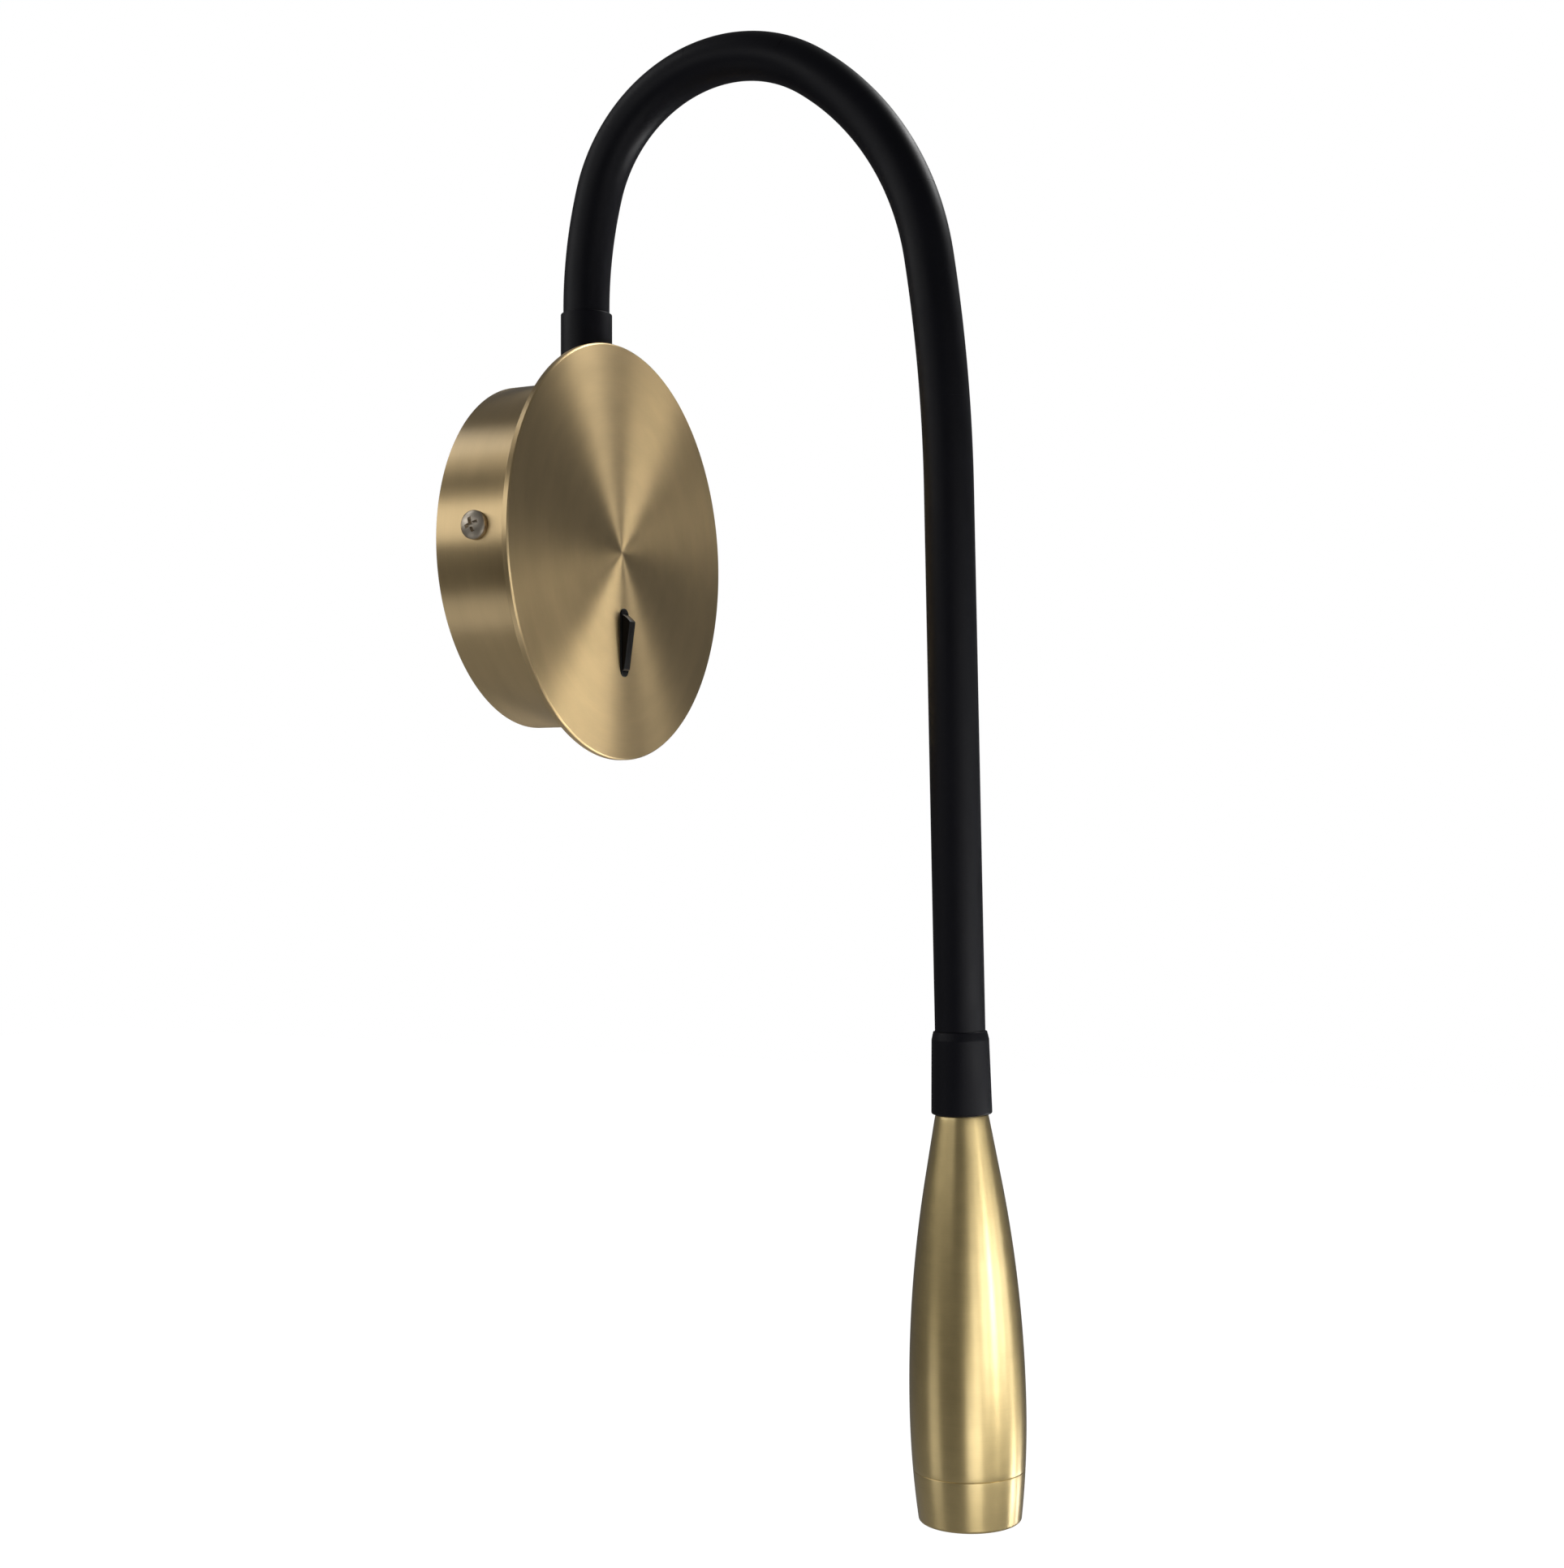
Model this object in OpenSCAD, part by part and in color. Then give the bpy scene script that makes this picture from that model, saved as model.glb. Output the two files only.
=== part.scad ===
// Reading wall lamp on a bendable neck: a round wall cup behind a larger front disc,
// a slim rocker switch, a sleeved gooseneck and a tapered spot head.
// Origin: centre of the cup's back rim, on the wall. The lamp faces -Y and +Z is up.

/* [Wall cup] */
// Outer diameter of the cup
cup_d = 100; // [94:1:108]
// Depth of the cup, from the wall to its front
cup_depth = 28; // [26:0.5:36]
// Thickness of the cup's sheet
cup_wall = 1.5; // [1:0.1:2]
// Radius of the cup's front corner
cup_corner_r = 1.2; // [0.4:0.1:1.4]

/* [Front disc] */
// Diameter of the disc
disc_d = 120; // [110:1:140]
// Thickness of the disc
disc_t = 2; // [1.5:0.1:4]
// Bright bevel round the disc's front edge
disc_bevel = 0.4; // [0.2:0.1:0.8]
// Distance of the welded studs from the cup's inner wall
stud_inset = 6.5; // [5.5:0.5:9]
// Angle of each stud above or below the level line
stud_angle = 35; // [32:1:38]
// Diameter of each stud
stud_d = 3; // [2.5:0.5:4]

/* [Wall bracket] */
// Height of the bracket's middle above the cup's centre
bracket_z = 3; // [0:0.5:4]
// Width of the strap
bracket_w = 20; // [16:1:22]
// Thickness of the strap
bracket_t = 2; // [1.5:0.1:2.5]
// Distance between the two wall slots
slot_spacing = 60; // [54:1:62]
// Width of each wall slot
slot_w = 4.6; // [4:0.1:5.5]
// End-to-end length of each wall slot
slot_len = 12; // [8:0.5:13]
// Width of the bracket's two ears
ear_w = 12; // [9:1:14]
// Distance of the side screws from the wall
side_screw_y = 13; // [10:0.5:15]
// Thread diameter of the side screws and of the earth screw
screw_d = 4; // [3:0.5:4]
// Distance of the earth screw from the middle
earth_screw_x = 18; // [17:0.5:19]

/* [Switch] */
// Sideways place of the switch
switch_x = 1; // [-2:0.5:4]
// Height of the switch
switch_z = -26; // [-27:0.5:-25]
// Width of the switch's rim
rim_w = 4.4; // [4.2:0.1:6]
// Height of the switch's rim
rim_h = 19.8; // [19:0.1:21]
// Width of the rocker
rocker_w = 3.2; // [2.6:0.1:3.4]
// Radius of the rocker's ends about its pivot
rocker_r = 9.5; // [9:0.1:9.6]
// How far the rocker's face stands out of the disc when level
rocker_proud = 2; // [1:0.1:2.5]
// Tilt of the rocker each way
rocker_tilt = 8; // [4:1:9]
// Width of the switch's housing
housing_w = 12; // [10:0.5:14]
// Depth of the switch's housing behind the cup's front
housing_depth = 13; // [11:0.5:14]

/* [Gooseneck] */
// Outer diameter of the sleeve
sleeve_d = 13.5; // [13:0.1:14.5]
// Bore of the sleeve
sleeve_bore_d = 10.6; // [10.5:0.1:11]
// Distance of the neck's foot from the wall
neck_y = 18; // [17:0.5:18]
// Straight rise above the cup
rise_len = 22; // [16:1:60]
// Length of the first easy bend
ease_len = 34; // [24:1:60]
// Angle of the first easy bend
ease_bend = 15; // [5:1:25]
// Length of the arch
arch_len = 85; // [80:1:120]
// Angle of the arch
arch_bend = 109; // [70:1:112]
// Length of the falling bend
fall_len = 68; // [60:1:100]
// Angle of the falling bend
fall_bend = 47; // [30:1:50]
// Length of the last easy bend
tail_len = 64; // [40:1:90]
// Angle of the last easy bend
tail_bend = 8; // [2:1:12]
// Straight drop to the head
drop_len = 168; // [100:1:220]
// Number of jointed sections in the neck
sections = 15;
// Distance of the first joint from the cup
first_joint_at = 30; // [28:1:34]
// Distance of the last joint from the head
last_joint_before = 31; // [30:1:40]
// Diameter of a section's tube
link_d = 9.2; // [9:0.1:9.4]
// Bore of a section's tube
link_bore_d = 4.4; // [4.2:0.1:4.6]
// Diameter of the ball of each joint
ball_d = 7.6; // [7.4:0.1:7.8]
// Diameter of the lead through the neck
lead_d = 3; // [2.4:0.1:3.2]

/* [Boots] */
// Wall of the boot at the neck's foot
base_boot_wall = 0.65; // [0.5:0.05:1.5]
// Height of the boot at the neck's foot
base_boot_h = 20.5; // [14:0.5:24]
// Diameter of the head boot's upper end
head_boot_d = 15.4; // [15:0.1:16]
// Diameter of the head boot's lower end
head_boot_end_d = 16.3; // [16:0.1:17.5]
// Height of the head boot
head_boot_h = 22; // [16:0.5:26]

/* [Head] */
// Largest diameter of the head
head_d = 31; // [30:0.5:36]
// Length of the head
head_len = 107; // [104:1:120]
// Distance of the widest place from the head's front
head_max_up = 30; // [27:1:33]
// Length of the straight cone at the head's top
head_cone_len = 17; // [12:1:24]
// Radius of the outline between the cone and the widest place
head_upper_r = 340; // [330:10:400]
// Diameter of the head's front
head_front_d = 27.2; // [26.8:0.1:28.4]
// Length of the front ring
ring_len = 13.5; // [12:0.5:15]
// Thickness of the head's wall
head_wall = 1.6; // [1.2:0.1:2]
// Thickness of the solid top of the head
head_top_t = 10; // [8:0.5:12]

/* [Light source] */
// Diameter of the heat sink
sink_d = 25; // [24:0.1:25.4]
// Length of the heat sink
sink_len = 22; // [18:1:24]
// Number of cooling slots in the heat sink
sink_slots = 12; // [6:1:16]
// Diameter of the lens's front
lens_d = 22; // [20:0.5:22.4]
// Distance of the heat sink's seat from the head's front
sink_seat_up = 45; // [44:1:47]

/* [Hidden] */
$fn = 96;

// Running clearances and seats
fit_gap = 0.05;
slip_gap = 0.1;
soft_gap = 0.2;
free_gap = 0.3;

// Bead where two runs of a round form meet
bead = 0.02;
bead_len = 0.15;

cup_r = cup_d / 2;
cup_in_r = cup_r - cup_wall;
plate_y = -(cup_depth - cup_wall);
disc_back_y = -cup_depth;
disc_y = disc_back_y - disc_t;

// Bracket, its ears and screws
ear_x = sqrt(pow(cup_in_r, 2) - pow(bracket_z + ear_w / 2, 2)) - slip_gap;
ear_len = side_screw_y + ear_w / 2;
screw_r = screw_d / 2;
side_screw_len = 9;
ring_tag_t = 0.6;
ring_tag_r = screw_d * 1.3;
tag_lead_gap = 0.4;

// Proportions of a pan-head screw, as shares of its thread diameter
pan_head_h = 0.6;
pan_crown_r = 1.8;
recess_reach = 0.62;
recess_w = 0.2;
recess_depth = 0.3;

// Disc studs and nuts
stud_circle_r = cup_d / 2 - cup_wall - stud_inset;
stud_nut_af = stud_d * 1.83;
stud_nut_h = stud_d * 0.8;
stud_len = cup_wall + ring_tag_t + stud_nut_h + 1.5;

// Switch
pivot_y = plate_y + 1;
pivot_r = 0.7;
pivot_len = 1.4;
rim_proud = 0.3;
rocker_top = pivot_y - disc_y + rocker_proud;
rocker_under = 2.4;
rocker_floor = 4.2;
housing_h = 26;
switch_ear_len = 6;
switch_ear_w = 8;
switch_ear_t = 2;
switch_screw_d = 2.5;
switch_screw_dz = housing_h / 2 + switch_ear_len / 2;
tab_w = 4.8;
tab_t = 0.8;
tab_len = 6.5;
tab_dz = 6;
tag_h = 2.6;
tag_len = 6;
tag_wall = 0.5;

// Driver and terminal block
tape_t = 0.8;
driver_size = [52, 16, 16];
driver_notch = [2, 1];
driver_z = 22;
block_size = [24, 13, 16];
pole_pitch = 8;
entry_w = 3;
entry_y = [-8.2, -14.2];
entry_depth = 3;
wire_in_block = 2;
wire_r = 0.9;
block_front_y = -bracket_t - block_size[1];
well_r = 2;
well_depth = 3;
terminal_dz = 4;
terminal_screw_h = 1.6;
terminal_slot = [0.6, 0.6];
pole_groove = [0.8, 2];

// Neck: runs of the centre line as length and bend, from the cup's top upwards
runs = [
  [rise_len, 0],
  [ease_len, ease_bend],
  [arch_len, arch_bend],
  [fall_len, fall_bend],
  [tail_len, tail_bend],
  [drop_len, 0]
];
function run_start(k) = k == 0 ? 0 : run_start(k - 1) + runs[k - 1][0];
neck_len = run_start(len(runs));
function bend_in(k, s) =
  runs[k][1] * min(max((s - run_start(k)) / runs[k][0], 0), 1);
function heading_at(s, k = 0) = k == len(runs) ? 0 : bend_in(k, s) + heading_at(s, k + 1);
function arc_step(length, bend, h) = bend == 0
  ? length * [0, -sin(h), cos(h)]
  : length * 180 / (PI * bend) * [0, cos(h + bend) - cos(h), sin(h + bend) - sin(h)];
function part_in(k, s) = min(max(s - run_start(k), 0), runs[k][0]);
function offset_at(s, k = 0) = k == len(runs)
  ? [0, 0, 0]
  : arc_step(part_in(k, s), bend_in(k, s), heading_at(run_start(k))) + offset_at(s, k + 1);
function point_at(s) = [0, -neck_y, cup_r] + offset_at(s)
  + (s < 0 ? [0, 0, s] : [0, 0, 0])
  + (s > neck_len ? (s - neck_len) * [0, -sin(heading_at(s)), cos(heading_at(s))] : [0, 0, 0]);
last_joint_at = neck_len - last_joint_before;
joint_pitch = (last_joint_at - first_joint_at) / (sections - 2);
function joint_at(i) = first_joint_at + (i - 1) * joint_pitch;

// Neck pieces
link_r = link_d / 2;
link_bore_r = link_bore_d / 2;
cuff_r = link_r + 0.1;
ball_r = ball_d / 2;
stem_waist = 1.1;
stem_r = ball_r - stem_waist;
lip_h = 1.4;
flare_from = 2.2;
flare_to = 4.6;
cuff_len = 1;
socket_len = 6;
flange_t = 2.5;
flange_r = 6.4;
crimp_depth = 7;
crimp_floor = 1.4;
nipple_r = 5;
nipple_len = 11;
saddle_t = 2;
saddle_r = 8.5;
lock_t = 0.8;
neck_nut_h = 4;
neck_nut_af = 14;
boot_in_r = sleeve_d / 2 + slip_gap;
head_stem_r = 4;
boot_slope_w = 0.5;
boot_slope_h = 2.2;

// Head pieces, with places measured along its axis from its top
head_r = head_d / 2;
head_max_at = head_len - head_max_up;
ring_at = head_len - ring_len;
sink_seat_at = head_len - sink_seat_up;
front_drop = head_r - head_front_d / 2;
head_lower_r = (pow(head_max_up, 2) + pow(front_drop, 2)) / (2 * front_drop);
spigot_len = 6;
spigot_wall = 1;
ring_lip_t = 1.4;
ring_lip = 1;
seam_bevel = 0.3;
edge_r = 0.8;
sink_core_r = sink_d * 0.26;
sink_slot_w = 1.6;
sink_floor = 4;
board_t = 1.6;
board_r = 10;
board_notch_r = 1.6;
chip_w = 5;
chip_h = 1;
chip_border = 0.6;
holder_wall = 1.6;
holder_floor = 1;
lens_side_gap = 0.8;
lens_set_in = 2;
lens_rim_t = 1.6;
lens_back_r = 4;
lens_lift = 0.3;
board_at = sink_seat_at + sink_len;
lens_front_at = head_len - ring_lip_t - lens_set_in;
wire_hole_r = lead_d / 2 + free_gap;

brass = [0.72, 0.60, 0.40];
steel = [0.70, 0.70, 0.71];
nickel = [0.62, 0.58, 0.52];
black = [0.05, 0.05, 0.06];
white = [0.92, 0.92, 0.9];

// Shared shapes

// A rod along the wall-to-room line, from y0 forward
module rod_y(r, y0, length) {
  translate([0, y0, 0]) rotate([90, 0, 0]) cylinder(h = length, r = r);
}

// A slot with round ends in the XZ plane, cut from y0 forward
module slot_y(w, h, y0, length) {
  translate([0, y0, 0]) rotate([90, 0, 0]) linear_extrude(length) {
    square([w, h - w], center = true);
    for (side = [-1, 1]) translate([0, side * (h - w) / 2]) circle(d = w);
  }
}

// A box centred in X and Z that runs from y0 forward
module box_y(size, y0) {
  translate([-size[0] / 2, y0 - size[1], -size[2] / 2]) cube(size);
}

// A cross-recess pan-head screw along +Z, with its head above the origin
module pan_screw(d, length) {
  difference() {
    union() {
      intersection() {
        cylinder(h = d * pan_head_h, r = d);
        translate([0, 0, d * (pan_head_h - pan_crown_r)]) sphere(r = d * pan_crown_r);
      }
      translate([0, 0, -length]) cylinder(h = length + slip_gap, r = d / 2 - fit_gap);
    }
    for (turn = [0, 90]) rotate(turn)
      translate(d * [-recess_reach, -recess_w / 2, pan_head_h - recess_depth])
      cube(d * [2 * recess_reach, recess_w, 1]);
  }
}

// Four places round the disc's stud circle; the first holds the earth tag
stud_angles = [stud_angle, 180 - stud_angle, 180 + stud_angle, 360 - stud_angle];
module at_stud(i) {
  translate(stud_circle_r * [cos(stud_angles[i]), 0, sin(stud_angles[i])]) children();
}
module at_studs() {
  for (i = [0 : 3]) at_stud(i) children();
}

// A wire through a list of points, with a round turn at each
module wire(points, r) {
  for (i = [1 : len(points) - 1]) {
    v = points[i] - points[i - 1];
    length = norm(v);
    translate(points[i - 1])
      rotate([0, acos(v[2] / length), atan2(v[1], v[0])])
      cylinder(h = length, r = r, $fn = 24);
    if (i < len(points) - 1) translate(points[i]) sphere(r = r + bead, $fn = 24);
  }
}

// The place and heading on the neck's centre line at a distance from the cup's top
module on_neck(s) {
  translate(point_at(s)) rotate([heading_at(s), 0, 0]) children();
}

// A bent rod or tube that starts upwards and bends towards -Y
module bent_tube(length, bend, r, bore_r = 0) {
  if (bend == 0) straight_tube(length, r, bore_r);
  else {
    bend_r = length * 180 / (PI * bend);
    translate([0, -bend_r, 0]) rotate([90, 0, 90])
      rotate_extrude(angle = bend) translate([bend_r, 0]) tube_section(r, bore_r);
  }
}
module straight_tube(length, r, bore_r = 0) {
  linear_extrude(length) tube_section(r, bore_r);
}
module tube_section(r, bore_r) {
  difference() {
    circle(r = r);
    if (bore_r > 0) circle(r = bore_r);
  }
}

// A rod or tube along the neck's centre line between two distances. A thin bead at each
// change of bend joins the runs.
module neck_tube(from, to, r, bore_r = 0) {
  bead_bore_r = bore_r > 0 ? bore_r - bead : 0;
  for (k = [0 : len(runs) - 1]) {
    a = max(from, run_start(k));
    b = min(to, run_start(k + 1));
    if (b > a) on_neck(a) bent_tube(b - a, runs[k][1] * (b - a) / runs[k][0], r, bore_r);
  }
  if (from < 0) on_neck(from) straight_tube(min(to, 0) - from, r, bore_r);
  if (to > neck_len) on_neck(max(from, neck_len))
    straight_tube(to - max(from, neck_len), r, bore_r);
  for (k = [0 : len(runs)]) if (from < run_start(k) - bead_len && to > run_start(k) + bead_len)
    on_neck(run_start(k) - bead_len) straight_tube(2 * bead_len, r + bead, bead_bore_r);
}

// Wall side

module wall_bracket() {
  color(steel) difference() {
    union() {
      intersection() {
        translate([0, 0, bracket_z]) box_y([2 * ear_x, bracket_t, bracket_w], 0);
        rod_y(cup_in_r - free_gap, 0, bracket_t);
      }
      for (side = [-1, 1]) translate([side * (ear_x - bracket_t / 2), 0, bracket_z])
        box_y([bracket_t, ear_len, ear_w], 0);
    }
    for (side = [-1, 1]) translate([side * slot_spacing / 2, 0, bracket_z])
      rotate([0, 90, 0]) slot_y(slot_w, slot_len, 1, bracket_t + 2);
    translate([0, -side_screw_y, bracket_z]) rotate([0, 90, 0])
      cylinder(h = cup_d, r = screw_r, center = true);
    translate([earth_screw_x, 0, bracket_z]) rod_y(screw_r, 1, bracket_t + 2);
  }
}

module bracket_earth_screw() {
  color(brass) translate([earth_screw_x, -bracket_t - ring_tag_t, bracket_z])
    rotate([90, 0, 0]) pan_screw(screw_d, bracket_t + ring_tag_t);
}

module cup_side_screws() {
  color(nickel) for (side = [0, 180]) rotate([0, side, 0])
    translate([-cup_r, -side_screw_y, side == 0 ? bracket_z : -bracket_z])
      rotate([0, -90, 0]) rotate([0, 0, 18]) pan_screw(screw_d, side_screw_len);
}

module wall_cup() {
  color(brass) difference() {
    rotate([90, 0, 0]) rotate_extrude() difference() {
      union() {
        square([cup_r, cup_depth - cup_corner_r]);
        square([cup_r - cup_corner_r, cup_depth]);
        translate([cup_r - cup_corner_r, cup_depth - cup_corner_r]) circle(r = cup_corner_r);
      }
      translate([0, -1]) square([cup_in_r, cup_depth - cup_wall + 1]);
    }
    translate([0, -side_screw_y, bracket_z]) rotate([0, 90, 0])
      cylinder(h = cup_d + 10, r = screw_r + free_gap, center = true);
    translate([0, -neck_y, cup_r / 2]) cylinder(h = cup_r, r = nipple_r + slip_gap);
    at_studs() rod_y(stud_d / 2 + slip_gap, plate_y + 1, cup_wall + 2);
    translate([switch_x, 0, switch_z]) {
      slot_y(rim_w + 2 * slip_gap, rim_h + 2 * slip_gap, plate_y + 1, cup_wall + 2);
      for (side = [-1, 1]) translate([0, 0, side * switch_screw_dz])
        rod_y(switch_screw_d / 2, plate_y + 1, cup_wall + 2);
    }
  }
}

module front_disc() {
  color(brass) {
    difference() {
      rotate([90, 0, 0]) translate([0, 0, cup_depth]) rotate_extrude() polygon([
        [0, 0], [disc_d / 2 - disc_bevel / 2, 0], [disc_d / 2, disc_bevel / 2],
        [disc_d / 2, disc_t - disc_bevel], [disc_d / 2 - disc_bevel, disc_t], [0, disc_t]
      ]);
      translate([switch_x, 0, switch_z])
        slot_y(rim_w + 2 * slip_gap, rim_h + 2 * slip_gap, disc_back_y + 1, disc_t + 2);
    }
    at_studs() rod_y(stud_d / 2, disc_back_y + stud_len, stud_len + disc_t / 2);
  }
}

module disc_stud_nuts() {
  color(steel) for (i = [0 : 3]) at_stud(i) difference() {
    lift = i == 0 ? ring_tag_t : 0;
    translate([0, plate_y + lift + stud_nut_h, 0]) rotate([90, 0, 0])
      cylinder(h = stud_nut_h, d = stud_nut_af / cos(30), $fn = 6);
    rod_y(stud_d / 2 + fit_gap, plate_y + 10, 12);
  }
}

// Switch, with its pivot line through the housing just behind the cup's front

module at_switch(y) {
  translate([switch_x, y, switch_z]) children();
}

// A round bar across the switch
module bar_x(r, length) {
  rotate([0, 90, 0]) cylinder(h = length, r = r, center = true);
}

module switch_housing() {
  color(black) at_switch(0) difference() {
    union() {
      box_y([housing_w, housing_depth, housing_h], plate_y + housing_depth);
      box_y([switch_ear_w, switch_ear_t, housing_h + 2 * switch_ear_len], plate_y + switch_ear_t);
      slot_y(rim_w, rim_h, plate_y + 1, plate_y + 1 - disc_y + rim_proud);
    }
    for (side = [-1, 1]) translate([0, 0, side * switch_screw_dz])
      rod_y(switch_screw_d / 2 + slip_gap, plate_y + 5, 8);
    intersection() {
      translate([0, pivot_y, 0]) bar_x(rocker_r + soft_gap, rocker_w + 2 * soft_gap);
      box_y([cup_d, cup_d, cup_d], pivot_y + rocker_floor);
    }
    translate([0, pivot_y, 0]) bar_x(pivot_r + fit_gap, rocker_w + 2 * pivot_len + 2 * soft_gap);
  }
}

module switch_rocker() {
  color(black) at_switch(pivot_y) rotate([rocker_tilt, 0, 0]) {
    intersection() {
      bar_x(rocker_r, rocker_w);
      box_y([cup_d, rocker_top + rocker_under, cup_d], rocker_under);
    }
    bar_x(pivot_r, rocker_w + 2 * pivot_len);
  }
}

module switch_tabs() {
  color(brass) at_switch(0) for (side = [-1, 1]) translate([0, 0, side * tab_dz])
    box_y([tab_w, tab_len, tab_t], plate_y + housing_depth + tab_len);
}

module switch_screws() {
  color(steel) at_switch(plate_y + switch_ear_t) for (side = [-1, 1])
    translate([0, 0, side * switch_screw_dz]) rotate([-90, 0, 0])
      pan_screw(switch_screw_d, switch_ear_t + cup_wall);
}

// Driver, terminal block and wires inside the cup

module led_driver() {
  color(white) translate([0, 0, driver_z]) difference() {
    box_y(driver_size, plate_y + tape_t + driver_size[1]);
    for (side = [-1, 1]) translate([side * driver_size[0] / 2, plate_y + tape_t + driver_size[1], 0])
      cube([2 * driver_notch[0], 2 * driver_notch[1], driver_size[2] + 2], center = true);
  }
}

module driver_tape() {
  color("gray") translate([0, 0, driver_z])
    box_y([driver_size[0] - 8, tape_t, driver_size[2] - 4], plate_y + tape_t);
}

module at_poles() {
  for (i = [-1 : 1]) translate([i * pole_pitch, 0, 0]) children();
}

// The floors of the block's six screw wells
module at_wells() {
  at_poles() for (side = [-1, 1])
    translate([0, block_front_y + well_depth, side * terminal_dz]) children();
}

module terminal_block() {
  color(white) translate([0, 0, bracket_z]) difference() {
    box_y(block_size, -bracket_t);
    at_poles() for (side = [-1, 1])
      translate([-entry_w / 2, entry_y[1], side * block_size[2] / 2 - entry_depth])
      cube([entry_w, entry_y[0] - entry_y[1], 2 * entry_depth]);
    at_wells() rod_y(well_r, 0, well_depth + 1);
    for (i = [-1, 1]) translate([i * pole_pitch / 2, 0, 0])
      box_y([pole_groove[0], pole_groove[1] + 1, block_size[2] + 2], block_front_y + pole_groove[1]);
  }
}

module terminal_screws() {
  color(steel) translate([0, 0, bracket_z]) at_wells() difference() {
    rod_y(well_r - soft_gap, 0, terminal_screw_h);
    box_y([terminal_slot[0], 1, 2 * well_r + 1], terminal_slot[1] - terminal_screw_h);
  }
}

// Wires between the driver, the switch and the terminal block, in lanes that pass each other
driver_left = -driver_size[0] / 2;
first_lane_y = -10.8;
second_lane_y = -12.9;
switch_lane_y = -10;
first_turn_x = driver_left - 3.5;
second_turn_x = driver_left - 6;
first_exit_z = driver_z - 2;
second_exit_z = driver_z + 2;
lane_z = 12.5;
low_lane_x = 9.5;
low_lane_z = -9.5;
earth_lane_x = 38;
earth_lane_z = 12;
block_top = bracket_z + block_size[2] / 2;
block_bottom = bracket_z - block_size[2] / 2;
module driver_leads() {
  color("saddlebrown") wire([
    [driver_left, first_lane_y, first_exit_z], [first_turn_x, first_lane_y, first_exit_z],
    [first_turn_x, first_lane_y, lane_z], [0, first_lane_y, lane_z],
    [0, first_lane_y, block_top - wire_in_block]
  ], wire_r);
  color("steelblue") wire([
    [driver_left, second_lane_y, second_exit_z], [second_turn_x, second_lane_y, second_exit_z],
    [second_turn_x, second_lane_y, lane_z], [pole_pitch, second_lane_y, lane_z],
    [pole_pitch, second_lane_y, block_top - wire_in_block]
  ], wire_r);
}

// A push-on tag over a switch tab
module switch_tag() {
  difference() {
    box_y([tab_w + 2 * tag_wall, tag_len, tag_h], plate_y + housing_depth + tab_len);
    box_y([tab_w + 2 * fit_gap, tag_len + 1, tab_t + 2 * fit_gap], plate_y + housing_depth + tab_len + 0.5);
  }
}
module switch_leads() {
  upper = switch_z + tab_dz;
  lower = switch_z - tab_dz;
  left = switch_x - tab_w / 2 - free_gap;
  right = switch_x + tab_w / 2 + free_gap;
  color("saddlebrown") {
    translate([switch_x, 0, upper]) switch_tag();
    wire([
      [-pole_pitch, switch_lane_y, block_bottom + wire_in_block],
      [-pole_pitch, switch_lane_y, upper], [left, switch_lane_y, upper]
    ], wire_r);
  }
  color("saddlebrown") {
    translate([switch_x, 0, lower]) switch_tag();
    wire([
      [0, switch_lane_y, block_bottom + wire_in_block], [0, switch_lane_y, low_lane_z],
      [low_lane_x, switch_lane_y, low_lane_z], [low_lane_x, switch_lane_y, lower],
      [right, switch_lane_y, lower]
    ], wire_r);
  }
}

// A ring tag under a screw or a nut
module ring_tag(bolt_r) {
  difference() {
    rod_y(ring_tag_r, 0, ring_tag_t);
    rod_y(bolt_r + slip_gap, 1, ring_tag_t + 2);
  }
}
module earth_lead() {
  stud = stud_circle_r * [cos(stud_angle), 0, sin(stud_angle)];
  tag_edge = screw_d + tag_lead_gap;
  back_y = -bracket_t - wire_r - slip_gap;
  front_y = plate_y + wire_r + slip_gap;
  color("olivedrab") {
    translate([earth_screw_x, -bracket_t, bracket_z]) ring_tag(screw_r);
    translate([stud[0], plate_y + ring_tag_t, stud[2]]) ring_tag(stud_d / 2);
    wire([
      [earth_screw_x, back_y, bracket_z + tag_edge], [earth_screw_x, back_y, earth_lane_z],
      [earth_lane_x, back_y, earth_lane_z], [earth_lane_x, front_y, earth_lane_z],
      [stud[0] + wire_r, front_y, stud[2] - tag_edge]
    ], wire_r);
  }
}

// Neck fixing in the cup's top

module neck_nipple() {
  color(steel) difference() {
    union() {
      difference() {
        on_neck(-1) cylinder(h = flange_t + 1, r = flange_r);
        rod_y(cup_r + fit_gap, 1, cup_d, $fn = 360);
      }
      on_neck(-nipple_len) cylinder(h = nipple_len + flange_t + crimp_depth, r = nipple_r);
    }
    on_neck(flange_t + crimp_floor) cylinder(h = crimp_depth + 1, r = link_r + fit_gap);
    on_neck(-nipple_len - 1) cylinder(h = cup_d, r = link_bore_r);
  }
}

module neck_saddle_washer() {
  color(steel) translate([0, -neck_y, 0]) difference() {
    intersection() {
      translate([0, 0, cup_in_r - saddle_t]) cylinder(h = saddle_t + 1, r = saddle_r);
      rod_y(cup_in_r - fit_gap, cup_d, 2 * cup_d, $fn = 360);
    }
    cylinder(h = cup_d, r = nipple_r + slip_gap);
  }
}

module neck_lock_washer() {
  color(steel) translate([0, -neck_y, cup_in_r - saddle_t - lock_t]) difference() {
    cylinder(h = lock_t, r = saddle_r - 1);
    translate([0, 0, -1]) cylinder(h = lock_t + 2, r = nipple_r + slip_gap);
    translate([0, -0.5, -1]) cube([saddle_r, 1, lock_t + 2]);
  }
}

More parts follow.
